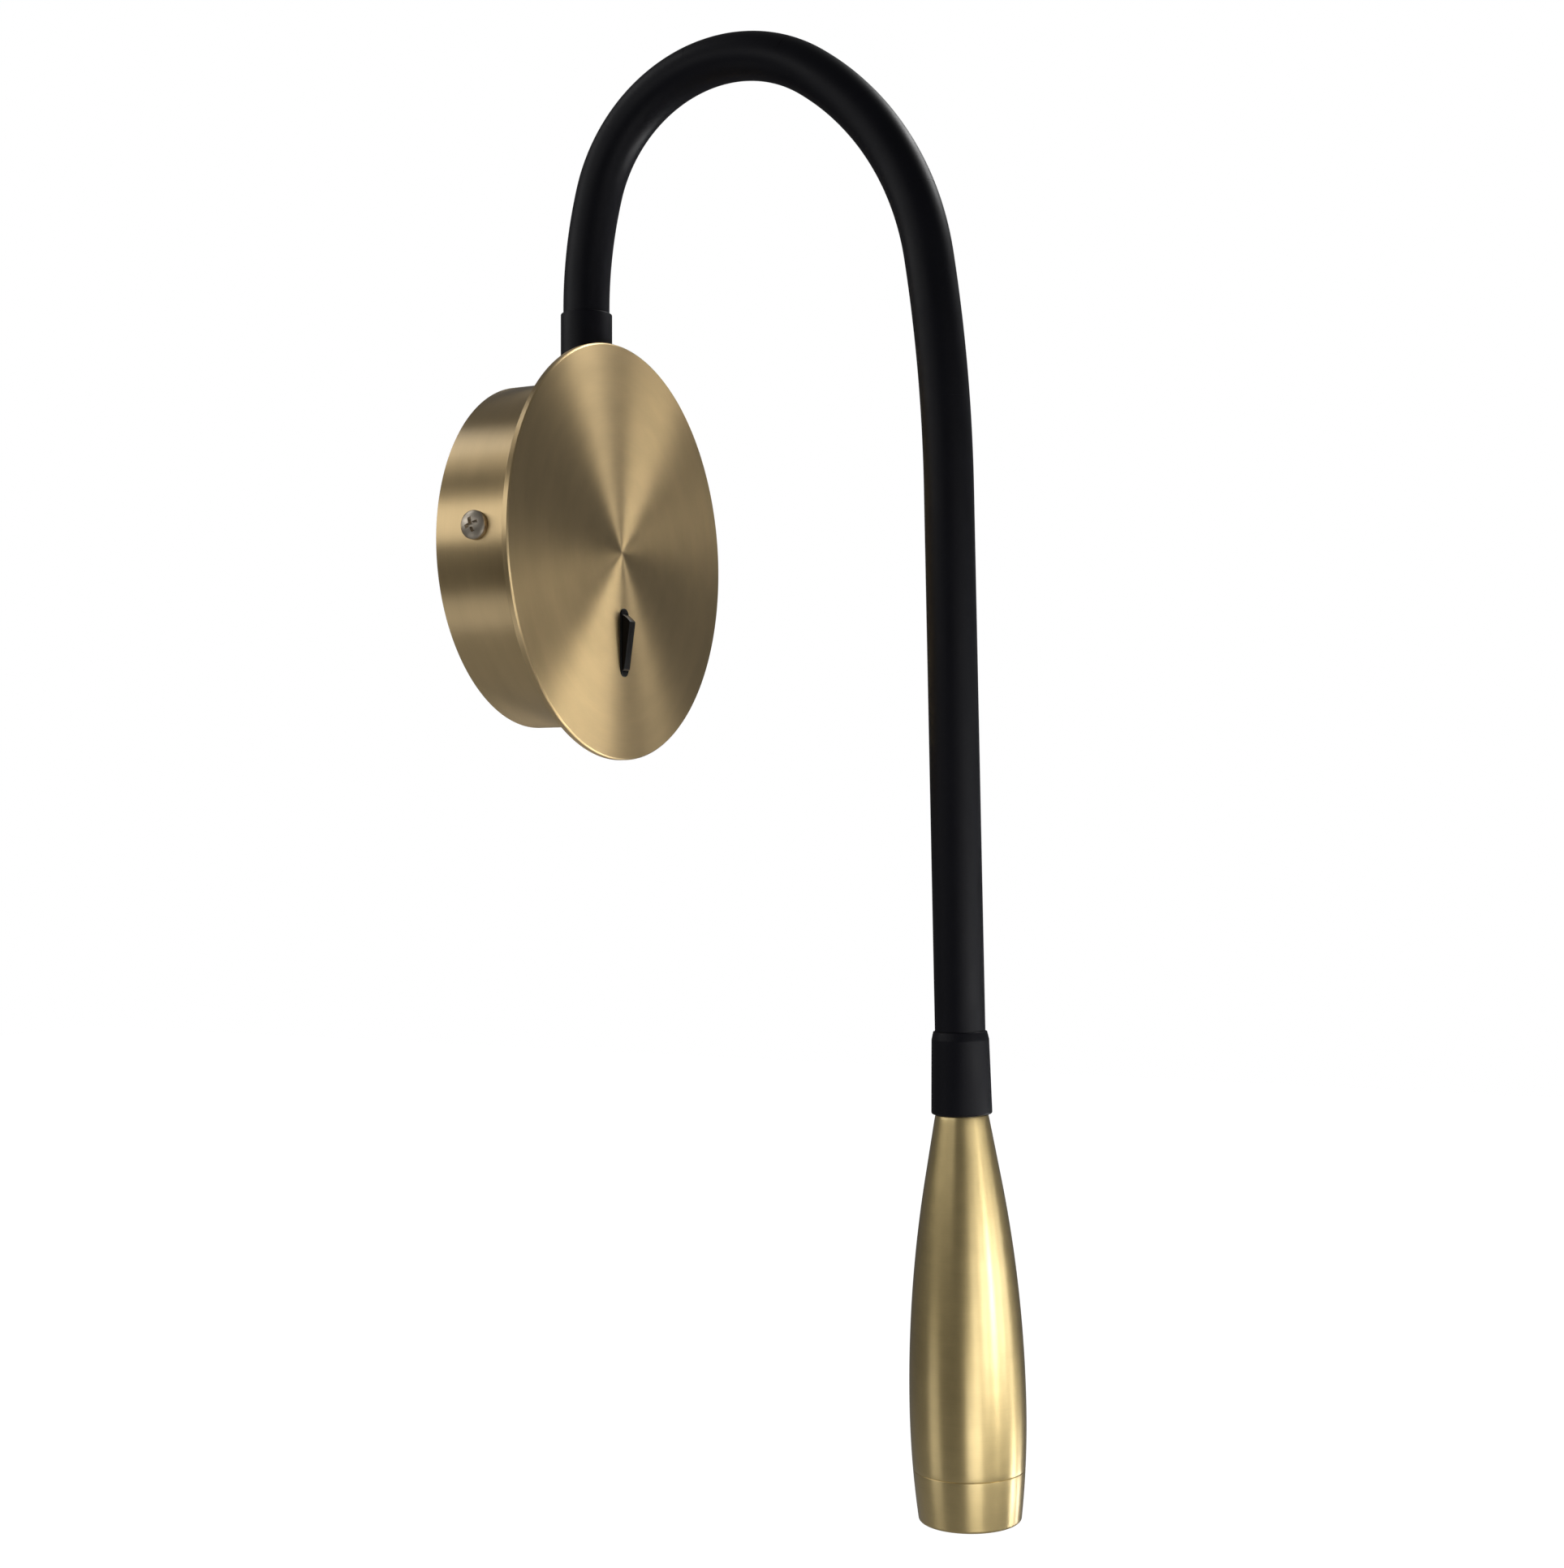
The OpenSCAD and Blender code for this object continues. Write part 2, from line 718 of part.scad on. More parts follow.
module neck_nut() {
  color(brass) translate([0, -neck_y, cup_in_r - saddle_t - lock_t - neck_nut_h]) difference() {
    cylinder(h = neck_nut_h, d = neck_nut_af / cos(30), $fn = 6);
    translate([0, 0, -1]) cylinder(h = neck_nut_h + 2, r = nipple_r + fit_gap);
  }
}

module base_boot() {
  color(black) difference() {
    on_neck(-2) cylinder(h = base_boot_h + 2, r = boot_in_r + base_boot_wall);
    on_neck(-3) cylinder(h = base_boot_h + 4, r = boot_in_r);
    rod_y(cup_r + soft_gap, 1, cup_d, $fn = 360);
  }
}

// Gooseneck sections: tubes that hold each other by a ball in a socket

// The ball at a section's start, with its stem and flare
module ball_end() {
  rotate_extrude() difference() {
    union() {
      circle(r = ball_r);
      polygon([
        [0, 0], [stem_r, 0], [stem_r, flare_from], [cuff_r, flare_to],
        [cuff_r, flare_to + cuff_len], [0, flare_to + cuff_len]
      ]);
    }
    translate([-ball_r, -ball_r - 1]) square([ball_r + link_bore_r, 3 * ball_r]);
  }
}

// The socket round the next section's ball
module socket_end() {
  rotate_extrude() difference() {
    translate([0, -socket_len]) square([cuff_r, socket_len + lip_h]);
    circle(r = ball_r + slip_gap);
    translate([0, -socket_len - 1]) square([link_bore_r, socket_len + 2]);
  }
}

module neck_section(i) {
  first = i == 1;
  last = i == sections;
  from = first ? flange_t + crimp_floor + fit_gap : joint_at(i - 1);
  to = last ? neck_len - flange_t - crimp_floor - fit_gap : joint_at(i);
  color([0.5, 0.5, 0.52]) {
    neck_tube(first ? from : from + flare_to, last ? to : to - socket_len + cuff_len,
      link_r, link_bore_r + slip_gap);
    if (!first) on_neck(from) ball_end();
    if (!last) on_neck(to) socket_end();
  }
}

module neck_section_01() neck_section(1);
module neck_section_02() neck_section(2);
module neck_section_03() neck_section(3);
module neck_section_04() neck_section(4);
module neck_section_05() neck_section(5);
module neck_section_06() neck_section(6);
module neck_section_07() neck_section(7);
module neck_section_08() neck_section(8);
module neck_section_09() neck_section(9);
module neck_section_10() neck_section(10);
module neck_section_11() neck_section(11);
module neck_section_12() neck_section(12);
module neck_section_13() neck_section(13);
module neck_section_14() neck_section(14);
module neck_section_15() neck_section(15);

module neck_sleeve() {
  color(black)
    neck_tube(flange_t + slip_gap, neck_len - flange_t - slip_gap, sleeve_d / 2, sleeve_bore_d / 2);
}

// Lead from the driver through the neck to the light source
lead_turn_z = driver_z + driver_size[2] / 2 + 3;
lead_turn_x = driver_size[0] / 2 + 3.5;
module lamp_lead() {
  color("dimgray") {
    neck_tube(lead_turn_z - cup_r, neck_len + board_at - slip_gap, lead_d / 2);
    translate([0, -neck_y, lead_turn_z]) sphere(r = lead_d / 2);
    wire([
      [0, -neck_y, lead_turn_z], [lead_turn_x, -neck_y, lead_turn_z],
      [lead_turn_x, -neck_y, driver_z], [driver_size[0] / 2, -neck_y, driver_z]
    ], lead_d / 2);
  }
}

// Head, measured along its axis from its top

module at_head(z = 0) {
  on_neck(neck_len + z) children();
}

module head_boot() {
  color(black) on_neck(neck_len - head_boot_h - soft_gap) rotate_extrude() difference() {
    union() {
      polygon([
        [0, 0], [head_boot_d / 2 - boot_slope_w, 0], [head_boot_d / 2, boot_slope_h],
        [head_boot_end_d / 2, head_boot_h - edge_r], [0, head_boot_h - edge_r]
      ]);
      square([head_boot_end_d / 2 - edge_r, head_boot_h]);
      translate([head_boot_end_d / 2 - edge_r, head_boot_h - edge_r]) circle(r = edge_r);
    }
    translate([0, -1]) square([boot_in_r, head_boot_h + 2]);
  }
}

module head_ferrule() {
  color(steel) difference() {
    union() {
      at_head(-flange_t) cylinder(h = flange_t, r = flange_r);
      at_head(-flange_t - crimp_depth) cylinder(h = crimp_depth + 1, r = nipple_r);
      at_head(-1) cylinder(h = head_top_t, r = head_stem_r);
    }
    at_head(-flange_t - crimp_depth - 1) cylinder(h = crimp_depth + 1 - crimp_floor, r = link_r + fit_gap);
    at_head(-flange_t - crimp_depth - 1) cylinder(h = cup_d, r = link_bore_r);
  }
}

// Radius of the head's outline at a distance from its top, and its outline as a flat shape
function upper_r(z) = head_r - head_upper_r + sqrt(pow(head_upper_r, 2) - pow(head_max_at - z, 2));
cone_r = upper_r(head_cone_len);
cone_rise = (head_max_at - head_cone_len) / (cone_r - head_r + head_upper_r);
module head_outline(inset = 0) {
  polygon([
    [0, 0], [cone_r - cone_rise * head_cone_len - inset, 0],
    [cone_r - inset, head_cone_len], [0, head_cone_len]
  ]);
  intersection() {
    translate([head_r - head_upper_r, head_max_at]) circle(r = head_upper_r - inset, $fn = 720);
    translate([0, head_cone_len]) square([head_r, head_max_at - head_cone_len]);
  }
  intersection() {
    translate([head_r - head_lower_r, head_max_at]) circle(r = head_lower_r - inset, $fn = 720);
    translate([0, head_max_at]) square([head_r, head_len - head_max_at]);
  }
}

// A V groove in a revolved edge, for the line between two turned pieces
module seam_cut(r, z) {
  translate([r, z]) rotate(45) square(seam_bevel * sqrt(2), center = true);
}

function lower_r(z) = head_r - head_lower_r + sqrt(pow(head_lower_r, 2) - pow(z - head_max_at, 2));
seam_r = lower_r(ring_at);
spigot_r = sink_d / 2 + fit_gap + spigot_wall;

module head_body() {
  color(brass) at_head() rotate_extrude() difference() {
    union() {
      intersection() {
        head_outline();
        square([head_d, ring_at]);
      }
      translate([0, sink_seat_at]) square([spigot_r, ring_at + spigot_len - sink_seat_at]);
    }
    seam_cut(seam_r, ring_at);
    translate([0, -1]) square([head_stem_r + fit_gap, head_len + 2]);
    intersection() {
      head_outline(head_wall);
      translate([0, head_top_t]) square([head_d, sink_seat_at - head_top_t]);
    }
    translate([0, sink_seat_at - 1]) square([sink_d / 2 + fit_gap, head_len]);
  }
}

module heat_sink() {
  color([0.75, 0.76, 0.78]) at_head(sink_seat_at) difference() {
    cylinder(h = sink_len, r = sink_d / 2);
    translate([0, 0, -1]) cylinder(h = sink_len + 2, r = wire_hole_r);
    for (i = [0 : sink_slots - 1]) rotate(i * 360 / sink_slots)
      translate([sink_core_r, -sink_slot_w / 2, -1])
      cube([sink_d, sink_slot_w, sink_len - sink_floor + 1]);
  }
}

module led_board() {
  color("white") at_head(board_at) difference() {
    cylinder(h = board_t, r = board_r);
    for (side = [-1, 1]) translate([side * board_r, 0, -1])
      cylinder(h = board_t + 2, r = board_notch_r);
  }
}

module led_chip() {
  color("khaki") at_head(board_at + board_t) {
    translate([-chip_w / 2, -chip_w / 2, 0]) cube([chip_w, chip_w, chip_h / 2]);
    cylinder(h = chip_h, r = chip_w / 2 - chip_border);
  }
}

module lens_holder() {
  color(black) at_head(board_at) rotate_extrude() difference() {
    square([sink_d / 2 - fit_gap, lens_front_at - board_at]);
    translate([0, -1]) square([board_r + soft_gap, board_t + 2]);
    translate([0, holder_floor + board_t]) square([sink_d / 2 - holder_wall, lens_front_at]);
    translate([0, lens_front_at - board_at - lens_rim_t]) square([lens_d / 2 + fit_gap, lens_rim_t + 1]);
  }
}

module lens() {
  back = board_at + board_t + chip_h + lens_lift;
  color([0.9, 0.95, 1, 0.5]) at_head() rotate_extrude() polygon([
    [0, back], [lens_back_r, back],
    [sink_d / 2 - holder_wall - lens_side_gap, lens_front_at - lens_rim_t],
    [lens_d / 2, lens_front_at - lens_rim_t],
    [lens_d / 2, lens_front_at], [0, lens_front_at]
  ]);
}

module front_ring() {
  color(brass) at_head() rotate_extrude($fn = 180) difference() {
    union() {
      intersection() {
        head_outline();
        translate([0, ring_at]) square([head_d, head_len - edge_r - ring_at]);
      }
      translate([0, ring_at]) square([lower_r(head_len) - edge_r, head_len - ring_at]);
      translate([lower_r(head_len - edge_r) - edge_r, head_len - edge_r]) circle(r = edge_r);
    }
    seam_cut(seam_r, ring_at);
    translate([0, ring_at - 1]) square([spigot_r + fit_gap, spigot_len + 1 + fit_gap]);
    translate([0, ring_at - 1]) square([sink_d / 2 + fit_gap, head_len - ring_lip_t - ring_at + 1]);
    square([sink_d / 2 - ring_lip, head_len + 1]);
  }
}

wall_bracket();
bracket_earth_screw();
cup_side_screws();
wall_cup();
front_disc();
disc_stud_nuts();
switch_housing();
switch_rocker();
switch_tabs();
switch_screws();
led_driver();
driver_tape();
terminal_block();
terminal_screws();
driver_leads();
switch_leads();
earth_lead();
neck_nipple();
neck_saddle_washer();
neck_lock_washer();
neck_nut();
base_boot();
neck_section_01();
neck_section_02();
neck_section_03();
neck_section_04();
neck_section_05();
neck_section_06();
neck_section_07();
neck_section_08();
neck_section_09();
neck_section_10();
neck_section_11();
neck_section_12();
neck_section_13();
neck_section_14();
neck_section_15();
neck_sleeve();
lamp_lead();
head_boot();
head_ferrule();
head_body();
heat_sink();
led_board();
led_chip();
lens_holder();
lens();
front_ring();
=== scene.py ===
"""The finish of a reading wall lamp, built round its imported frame. Meshes are in metres. The sizes in
this file are in millimetres unless a comment says otherwise."""

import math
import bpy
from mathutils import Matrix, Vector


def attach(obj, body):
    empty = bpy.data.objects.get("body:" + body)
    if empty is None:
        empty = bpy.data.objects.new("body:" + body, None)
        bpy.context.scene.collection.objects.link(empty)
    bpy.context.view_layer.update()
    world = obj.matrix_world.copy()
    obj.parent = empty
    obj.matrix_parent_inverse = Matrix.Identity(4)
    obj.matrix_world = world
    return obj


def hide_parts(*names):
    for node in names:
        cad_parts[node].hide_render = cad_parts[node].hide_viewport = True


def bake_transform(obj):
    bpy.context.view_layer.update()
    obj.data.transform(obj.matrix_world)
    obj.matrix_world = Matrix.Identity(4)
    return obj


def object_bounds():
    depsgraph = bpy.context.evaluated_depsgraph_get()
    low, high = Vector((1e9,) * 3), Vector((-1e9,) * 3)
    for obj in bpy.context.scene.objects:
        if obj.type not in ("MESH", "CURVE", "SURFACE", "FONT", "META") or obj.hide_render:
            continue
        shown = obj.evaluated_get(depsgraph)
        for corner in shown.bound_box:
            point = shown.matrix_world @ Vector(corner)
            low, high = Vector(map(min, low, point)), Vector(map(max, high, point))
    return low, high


bl_info = {
    "name": "Reading wall lamp",
    "version": (1, 0, 0),
    "blender": (4, 5, 0),
    "location": "View3D > Sidebar > Wall lamp",
    "description": "Dresses the frame of a reading wall lamp with a bendable neck",
    "category": "Object",
}

import bmesh
import bpy
from mathutils import Matrix, Vector

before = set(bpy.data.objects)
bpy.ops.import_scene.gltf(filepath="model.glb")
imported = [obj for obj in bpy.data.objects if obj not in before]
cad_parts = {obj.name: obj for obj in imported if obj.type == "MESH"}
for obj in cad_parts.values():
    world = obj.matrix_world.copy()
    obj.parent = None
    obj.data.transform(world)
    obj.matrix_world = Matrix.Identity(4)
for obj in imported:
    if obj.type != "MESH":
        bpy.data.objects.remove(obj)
CAD_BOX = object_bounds()
MM = 0.001
# A ring with a smaller radius is drawn as one point
ON_AXIS = 1e-6
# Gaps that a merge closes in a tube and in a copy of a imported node, in metres
TUBE_GAP = 1e-6
NODE_GAP = 2e-6

# Neck centre line: where it leaves the cup, and its runs as (length, bend in degrees)
NECK_FOOT = (0.0, -18.0, 50.0)
RUNS = ((22.0, 0.0), (34.0, 15.0), (85.0, 109.0), (68.0, 47.0), (64.0, 8.0), (168.0, 0.0))
NECK_LEN = sum(run[0] for run in RUNS)
FIRST_JOINT = 30.0
LAST_JOINT = NECK_LEN - 31.0
SECTIONS = 15
BEND_REACH = 9.0
SLEEVE_INSET = 2.6
# The lead: its route in (x, z) from the driver to the neck, its bends there, and its reach in the head
LEAD_FOOT = ((26.0, 22.0), (29.5, 22.0), (29.5, 33.0), (0.0, 33.0), (0.0, 45.0))
LEAD_BEND = 4.0
LEAD_INTO_HEAD = 83.9

# Wall side: the cup, the disc in front of it and the switch through both
CUP_R = 50.0
CUP_DEPTH = 28.0
CUP_WALL = 1.5
CUP_CORNER = 1.2
CUP_RINGS = (7.0, 14.0, 21.0)
DISC_T = 2.0
DISC_RINGS = (0.97, 0.85, 0.7, 0.55, 0.4, 0.25, 0.12, 0.04, 0.01, 0.0)
SWITCH_X = 1.0
SWITCH_Z = -26.0
SLOT_WIDTH = 4.6
SLOT_HEIGHT = 20.0
EAR_REACH = 16.0
EAR_FACE = 24.5
EAR_HOLE_R = 1.25
SIDE_SCREW_Y = -13.0
SIDE_HOLE_R = 2.3
BRACKET_Z = 3.0
EARTH_SCREW = (18.0, -2.6, BRACKET_Z)
NECK_HOLE_R = 5.1
STUD_CIRCLE_R = 42.0
STUD_ANGLE = 35.0
STUD_HOLE_R = 1.6
STUD_R = 1.5
STUD_LEN = 6.0
STUD_PITCH = 0.5

# Driver leads: radius and bend, and for each its name, finish, Y and route in (x, z)
DRIVER_LEAD_R = 0.9
DRIVER_LEAD_BEND = 2.4
LIVE_ROUTE = ((-26.0, 20.0), (-29.5, 20.0), (-29.5, 12.5), (0.0, 12.5), (0.0, 9.0))
NEUTRAL_ROUTE = ((-26.0, 24.0), (-32.0, 24.0), (-32.0, 12.5), (8.0, 12.5), (8.0, 9.0))
DRIVER_LEADS = (
    ("driver_lead_live", "brown wire", -10.8, LIVE_ROUTE),
    ("driver_lead_neutral", "blue wire", -12.9, NEUTRAL_ROUTE),
)

# Boots: the head's boot has its radii at the foot, the bead, the middle and the end
BASE_BOOT_R = 7.5
BASE_BOOT_LEN = 20.5
HEAD_BOOT_R = (7.2, 7.7, 7.93, 8.15)
HEAD_BOOT_LEN = 22.0

# Head, measured along its axis from its top
HEAD_LEN = 107.0
HEAD_R = 15.5
HEAD_MAX_AT = 77.0
HEAD_CONE = 17.0
HEAD_UPPER_R = 340.0
HEAD_FRONT_R = 13.6
HEAD_SHELL = 1.6
HEAD_TOP_T = 10.0
HEAD_BORE_R = 4.05
FRONT_BORE_R = 12.55
RIM_R = 13.55
RIM_AT = 99.5
RING_AT = 93.5
RING_BORE_R = 13.6
RING_EDGE = 0.8
RING_HOLE_R = 11.5
RING_LIP_AT = 105.6
SEAM_DEPTH = 0.14
SINK_SEAT_AT = 62.0
HOLDER_AT = 84.0
HOLDER_R = 10.9
LENS_FACE_AT = 103.6
LENS_RIM_AT = 102.0
LENS_FOOT_AT = 87.1

# Finishes of small parts: material name, colour, roughness, scale of the skin and its strength
METALS = {
    "zinc": ("zinc_steel", (0.62, 0.64, 0.66), 0.34, 1100.0),
    "nickel": ("nickel_screws", (0.62, 0.55, 0.45), 0.4, 2000.0),
    "plain brass": ("plain_brass", (0.78, 0.58, 0.26), 0.3, 1800.0),
    "neck steel": ("neck_steel", (0.42, 0.42, 0.43), 0.38, 1500.0),
    "aluminium": ("sink_aluminium", (0.78, 0.79, 0.8), 0.36, 1300.0),
}
EARTH_GREEN = (0.10, 0.34, 0.06)
EARTH_YELLOW = (0.75, 0.62, 0.04)
PLASTICS = {
    "holder": ("black_holder", (0.012, 0.012, 0.013), 0.55, 2500.0, 0.3),
    "white plastic": ("white_plastic", (0.80, 0.80, 0.77), 0.42, 3000.0),
    "tape": ("foam_tape", (0.30, 0.31, 0.32), 0.9, 900.0, 0.8),
    "brown wire": ("brown_wire", (0.17, 0.065, 0.03), 0.4, 3000.0),
    "blue wire": ("blue_wire", (0.04, 0.12, 0.42), 0.4, 3000.0),
    "jacket": ("lead_jacket", (0.035, 0.035, 0.038), 0.5, 2500.0),
    "board": ("board_white", (0.86, 0.87, 0.87), 0.35, 4000.0),
}
# The head's brass is a little yellower and smoother than the cup's, and brushed more lightly. The other
# values of the brass are the tones of its bands and lines, and what its smudges add to the roughness
HEAD_TINT = (1.0, 1.045, 0.95)
HEAD_ROUGHNESS_SHARE = 0.88
HEAD_BRUSHING_SHARE = 0.45
COAT_ROUGHNESS = 0.22
COAT_IOR = 1.48
BRASS_BANDS = (0.93, 1.03)
BRASS_LINE_TONE = 0.55
BRASS_LINE_SHARE = 0.12
BRASS_SMUDGE = 0.008
# Depth of a skin, in metres
SKIN_DEPTH = 0.00002

# Stage, in metres but for the lens: camera, floor and room light
CAMERA_AT = (-0.54767, -0.35063, -0.08011)
CAMERA_RIGHT = (0.4404, -0.8978, 0.0)
CAMERA_FORWARD = (0.8976, 0.4403, 0.0210)
CAMERA_LENS = 50.31
CAMERA_ROLL = 0.0027
CAMERA_SHIFT = (-0.0013, -0.0005)
FLOOR_DROP = 0.35
FLOOR_SIZE = 4.0
FLOOR_GREY = 0.6
FLOOR_GLOW = 1.16
FLOOR_GLOW_SHARE = 0.9
ROOM_LIGHT = 0.11


# Path of the neck, with s as the distance along it


def heading_at(s):
    """Heading at s mm from the cup's top, in radians from straight up towards the room."""
    heading, start = 0.0, 0.0
    for length, bend in RUNS:
        heading += math.radians(bend) * min(max((s - start) / length, 0.0), 1.0)
        start += length
    return heading


def point_at(s):
    """The point of the neck's centre line at s mm from the cup's top."""
    y, z, heading, start = 0.0, 0.0, 0.0, 0.0
    for length, bend in RUNS:
        part = min(max(s - start, 0.0), length)
        turn = math.radians(bend) * part / length
        if bend:
            radius = length / math.radians(bend)
            y += radius * (math.cos(heading + turn) - math.cos(heading))
            z += radius * (math.sin(heading + turn) - math.sin(heading))
        else:
            y -= part * math.sin(heading)
            z += part * math.cos(heading)
        heading += turn
        start += length
    beyond = max(s - start, 0.0) + min(s, 0.0)
    along = heading if s > 0 else 0.0
    y = NECK_FOOT[1] + y - beyond * math.sin(along)
    z = NECK_FOOT[2] + z + beyond * math.cos(along)
    return Vector((NECK_FOOT[0], y, z))


def joint_at(index):
    """Distance along the neck of joint 1 to 14."""
    return FIRST_JOINT + (index - 1) * (LAST_JOINT - FIRST_JOINT) / (SECTIONS - 2)


def neck_frame(s):
    """Matrix in mm that puts +Z along the neck at s, and +X level."""
    matrix = Matrix.Rotation(heading_at(s), 4, "X")
    matrix.translation = point_at(s)
    return matrix


HEAD_FRAME = neck_frame(NECK_LEN)
# The cup's and the disc's axis: +Z of a turned outline points to the room
WALL_FRAME = Matrix.Rotation(math.radians(90.0), 4, "X")


# Outlines


def around(count):
    """Cosine and sine of count equal turns."""
    turns = [2 * math.pi * k / count for k in range(count)]
    return [(math.cos(turn), math.sin(turn)) for turn in turns]


def rounded(outline, steps=4):
    """A closed outline with its corners rounded where a point has a radius as its third number."""
    made = []
    count = len(outline)
    for i, point in enumerate(outline):
        here = Vector(point[:2])
        size = point[2] if len(point) > 2 else 0.0
        if size <= 0:
            made.append((here.x, here.y))
            continue
        a = Vector(outline[i - 1][:2]) - here
        b = Vector(outline[(i + 1) % count][:2]) - here
        a_len, b_len = a.length, b.length
        a.normalize()
        b.normalize()
        angle = a.angle(b)
        reach = min(size / math.tan(angle / 2), a_len * 0.45, b_len * 0.45)
        size = reach * math.tan(angle / 2)
        centre = here + (a + b).normalized() * (size / math.sin(angle / 2))
        start, end = here + a * reach - centre, here + b * reach - centre
        sweep = start.angle_signed(end)
        for k in range(steps + 1):
            spot = centre + Matrix.Rotation(-sweep * k / steps, 2) @ start
            made.append((spot.x, spot.y))
    return made


def quarter_round(radius, x, z, first=0, steps=8):
    """Points of a rounded outer corner whose tip would be at (x, z)."""
    turns = [math.pi / 2 * k / steps for k in range(first, steps + 1)]
    return [(x - radius + radius * math.cos(turn), z - radius + radius * math.sin(turn)) for turn in turns]


def switch_slot(steps=24):
    """Outline of the slot for the switch, with round ends."""
    radius, half = SLOT_WIDTH / 2, (SLOT_HEIGHT - SLOT_WIDTH) / 2
    made = []
    for side, first in ((1, 0.0), (-1, math.pi)):
        for k in range(steps + 1):
            angle = first + math.pi * k / steps
            x = SWITCH_X + radius * math.cos(angle)
            made.append((x, SWITCH_Z + side * half + radius * math.sin(angle)))
    return made


def circle(radius, centre=(0.0, 0.0), steps=48):
    """Outline of a round hole."""
    return [(centre[0] + radius * x, centre[1] + radius * y) for x, y in around(steps)]


def head_outline_r(z):
    """Radius of the head's outside at z mm from its top."""
    cone_r = HEAD_R - HEAD_UPPER_R + math.sqrt(HEAD_UPPER_R**2 - (HEAD_MAX_AT - HEAD_CONE) ** 2)
    rise = (HEAD_MAX_AT - HEAD_CONE) / (cone_r - HEAD_R + HEAD_UPPER_R)
    if z < HEAD_CONE:
        return cone_r - rise * (HEAD_CONE - z)
    if z < HEAD_MAX_AT:
        return HEAD_R - HEAD_UPPER_R + math.sqrt(HEAD_UPPER_R**2 - (HEAD_MAX_AT - z) ** 2)
    drop_r, reach = HEAD_R - HEAD_FRONT_R, HEAD_LEN - HEAD_MAX_AT
    lower_r = (reach**2 + drop_r**2) / (2 * drop_r)
    return HEAD_R - lower_r + math.sqrt(lower_r**2 - (z - HEAD_MAX_AT) ** 2)


def steps_between(start, end, pitch):
    """Even steps from start to end, each of the pitch or a little more."""
    count = max(1, int(abs(end - start) / pitch))
    return [start + (end - start) * k / count for k in range(count + 1)]


def stud_places():
    """Where the four studs stand behind the disc."""
    turns = [math.radians(a) for a in (STUD_ANGLE, 180 - STUD_ANGLE, 180 + STUD_ANGLE, 360 - STUD_ANGLE)]
    return [(STUD_CIRCLE_R * math.cos(turn), STUD_CIRCLE_R * math.sin(turn)) for turn in turns]


def bent_route(points, radius, steps=6):
    """A route with its corners rounded, as a wire bends."""
    made = [Vector(points[0])]
    for before, here, after in zip(points, points[1:], points[2:]):
        here = Vector(here)
        a, b = Vector(before) - here, Vector(after) - here
        reach = min(radius, a.length * 0.48, b.length * 0.48)
        start, end = here + a.normalized() * reach, here + b.normalized() * reach
        for k in range(steps + 1):
            t = k / steps
            made.append(start * (1 - t) ** 2 + here * 2 * t * (1 - t) + end * t * t)
    made.append(Vector(points[-1]))
    return made


# Meshes


def smooth(mesh, sharp):
    """Smooth shading, but for edges sharper than an angle in degrees."""
    for polygon in mesh.polygons:
        polygon.use_smooth = True
    mesh.set_sharp_from_angle(angle=math.radians(sharp))


def linked(name, data):
    """An object of a mesh, a lamp or a camera, in the scene."""
    obj = bpy.data.objects.new(name, data)
    bpy.context.scene.collection.objects.link(obj)
    return obj


def to_object(name, bm):
    """An object of a bmesh, which is used up."""
    mesh = bpy.data.meshes.new(name)
    bm.to_mesh(mesh)
    bm.free()
    return linked(name, mesh)


def finished(name, bm, material, sharp):
    """An object of a bmesh with its material, smooth but for its sharp edges."""
    obj = to_object(name, bm)
    obj.data.materials.append(material)
    smooth(obj.data, sharp)
    return obj


def turned(name, outline, matrix, material, segments, sharp=35.0):
    """A turned piece: a closed outline of (radius, height), run anticlockwise, spun about +Z of
    matrix. Its UV has the outline's length as U and the way round as V."""
    bm = bmesh.new()
    uv = bm.loops.layers.uv.new("turning")
    closed = [*outline, outline[0]]
    reach = [0.0]
    for a, b in zip(closed, closed[1:]):
        reach.append(reach[-1] + math.hypot(b[0] - a[0], b[1] - a[1]))
    rings = []
    for radius, height in outline:
        spots = [(radius * x, radius * y, height) for x, y in around(segments)]
        if radius <= ON_AXIS:
            spots = [(0, 0, height)]
        rings.append([bm.verts.new(matrix @ Vector(spot) * MM) for spot in spots])
    for i, low in enumerate(rings):
        high = rings[(i + 1) % len(rings)]
        if len(low) == 1 and len(high) == 1:
            continue
        u0, u1 = reach[i] * MM, reach[i + 1] * MM
        for k in range(segments):
            n = (k + 1) % segments
            v0, v1 = k / segments, (k + 1) / segments
            middle = (v0 + v1) / 2
            if len(low) == 1:
                corners = [(low[0], u0, middle), (high[n], u1, v1), (high[k], u1, v0)]
            elif len(high) == 1:
                corners = [(low[k], u0, v0), (low[n], u0, v1), (high[0], u1, middle)]
            else:
                corners = [(low[k], u0, v0), (low[n], u0, v1), (high[n], u1, v1), (high[k], u1, v0)]
            face = bm.faces.new([corner[0] for corner in corners])
            for loop, corner in zip(face.loops, corners):
                loop[uv].uv = corner[1:]
    bmesh.ops.recalc_face_normals(bm, faces=bm.faces)
    return finished(name, bm, material, sharp)


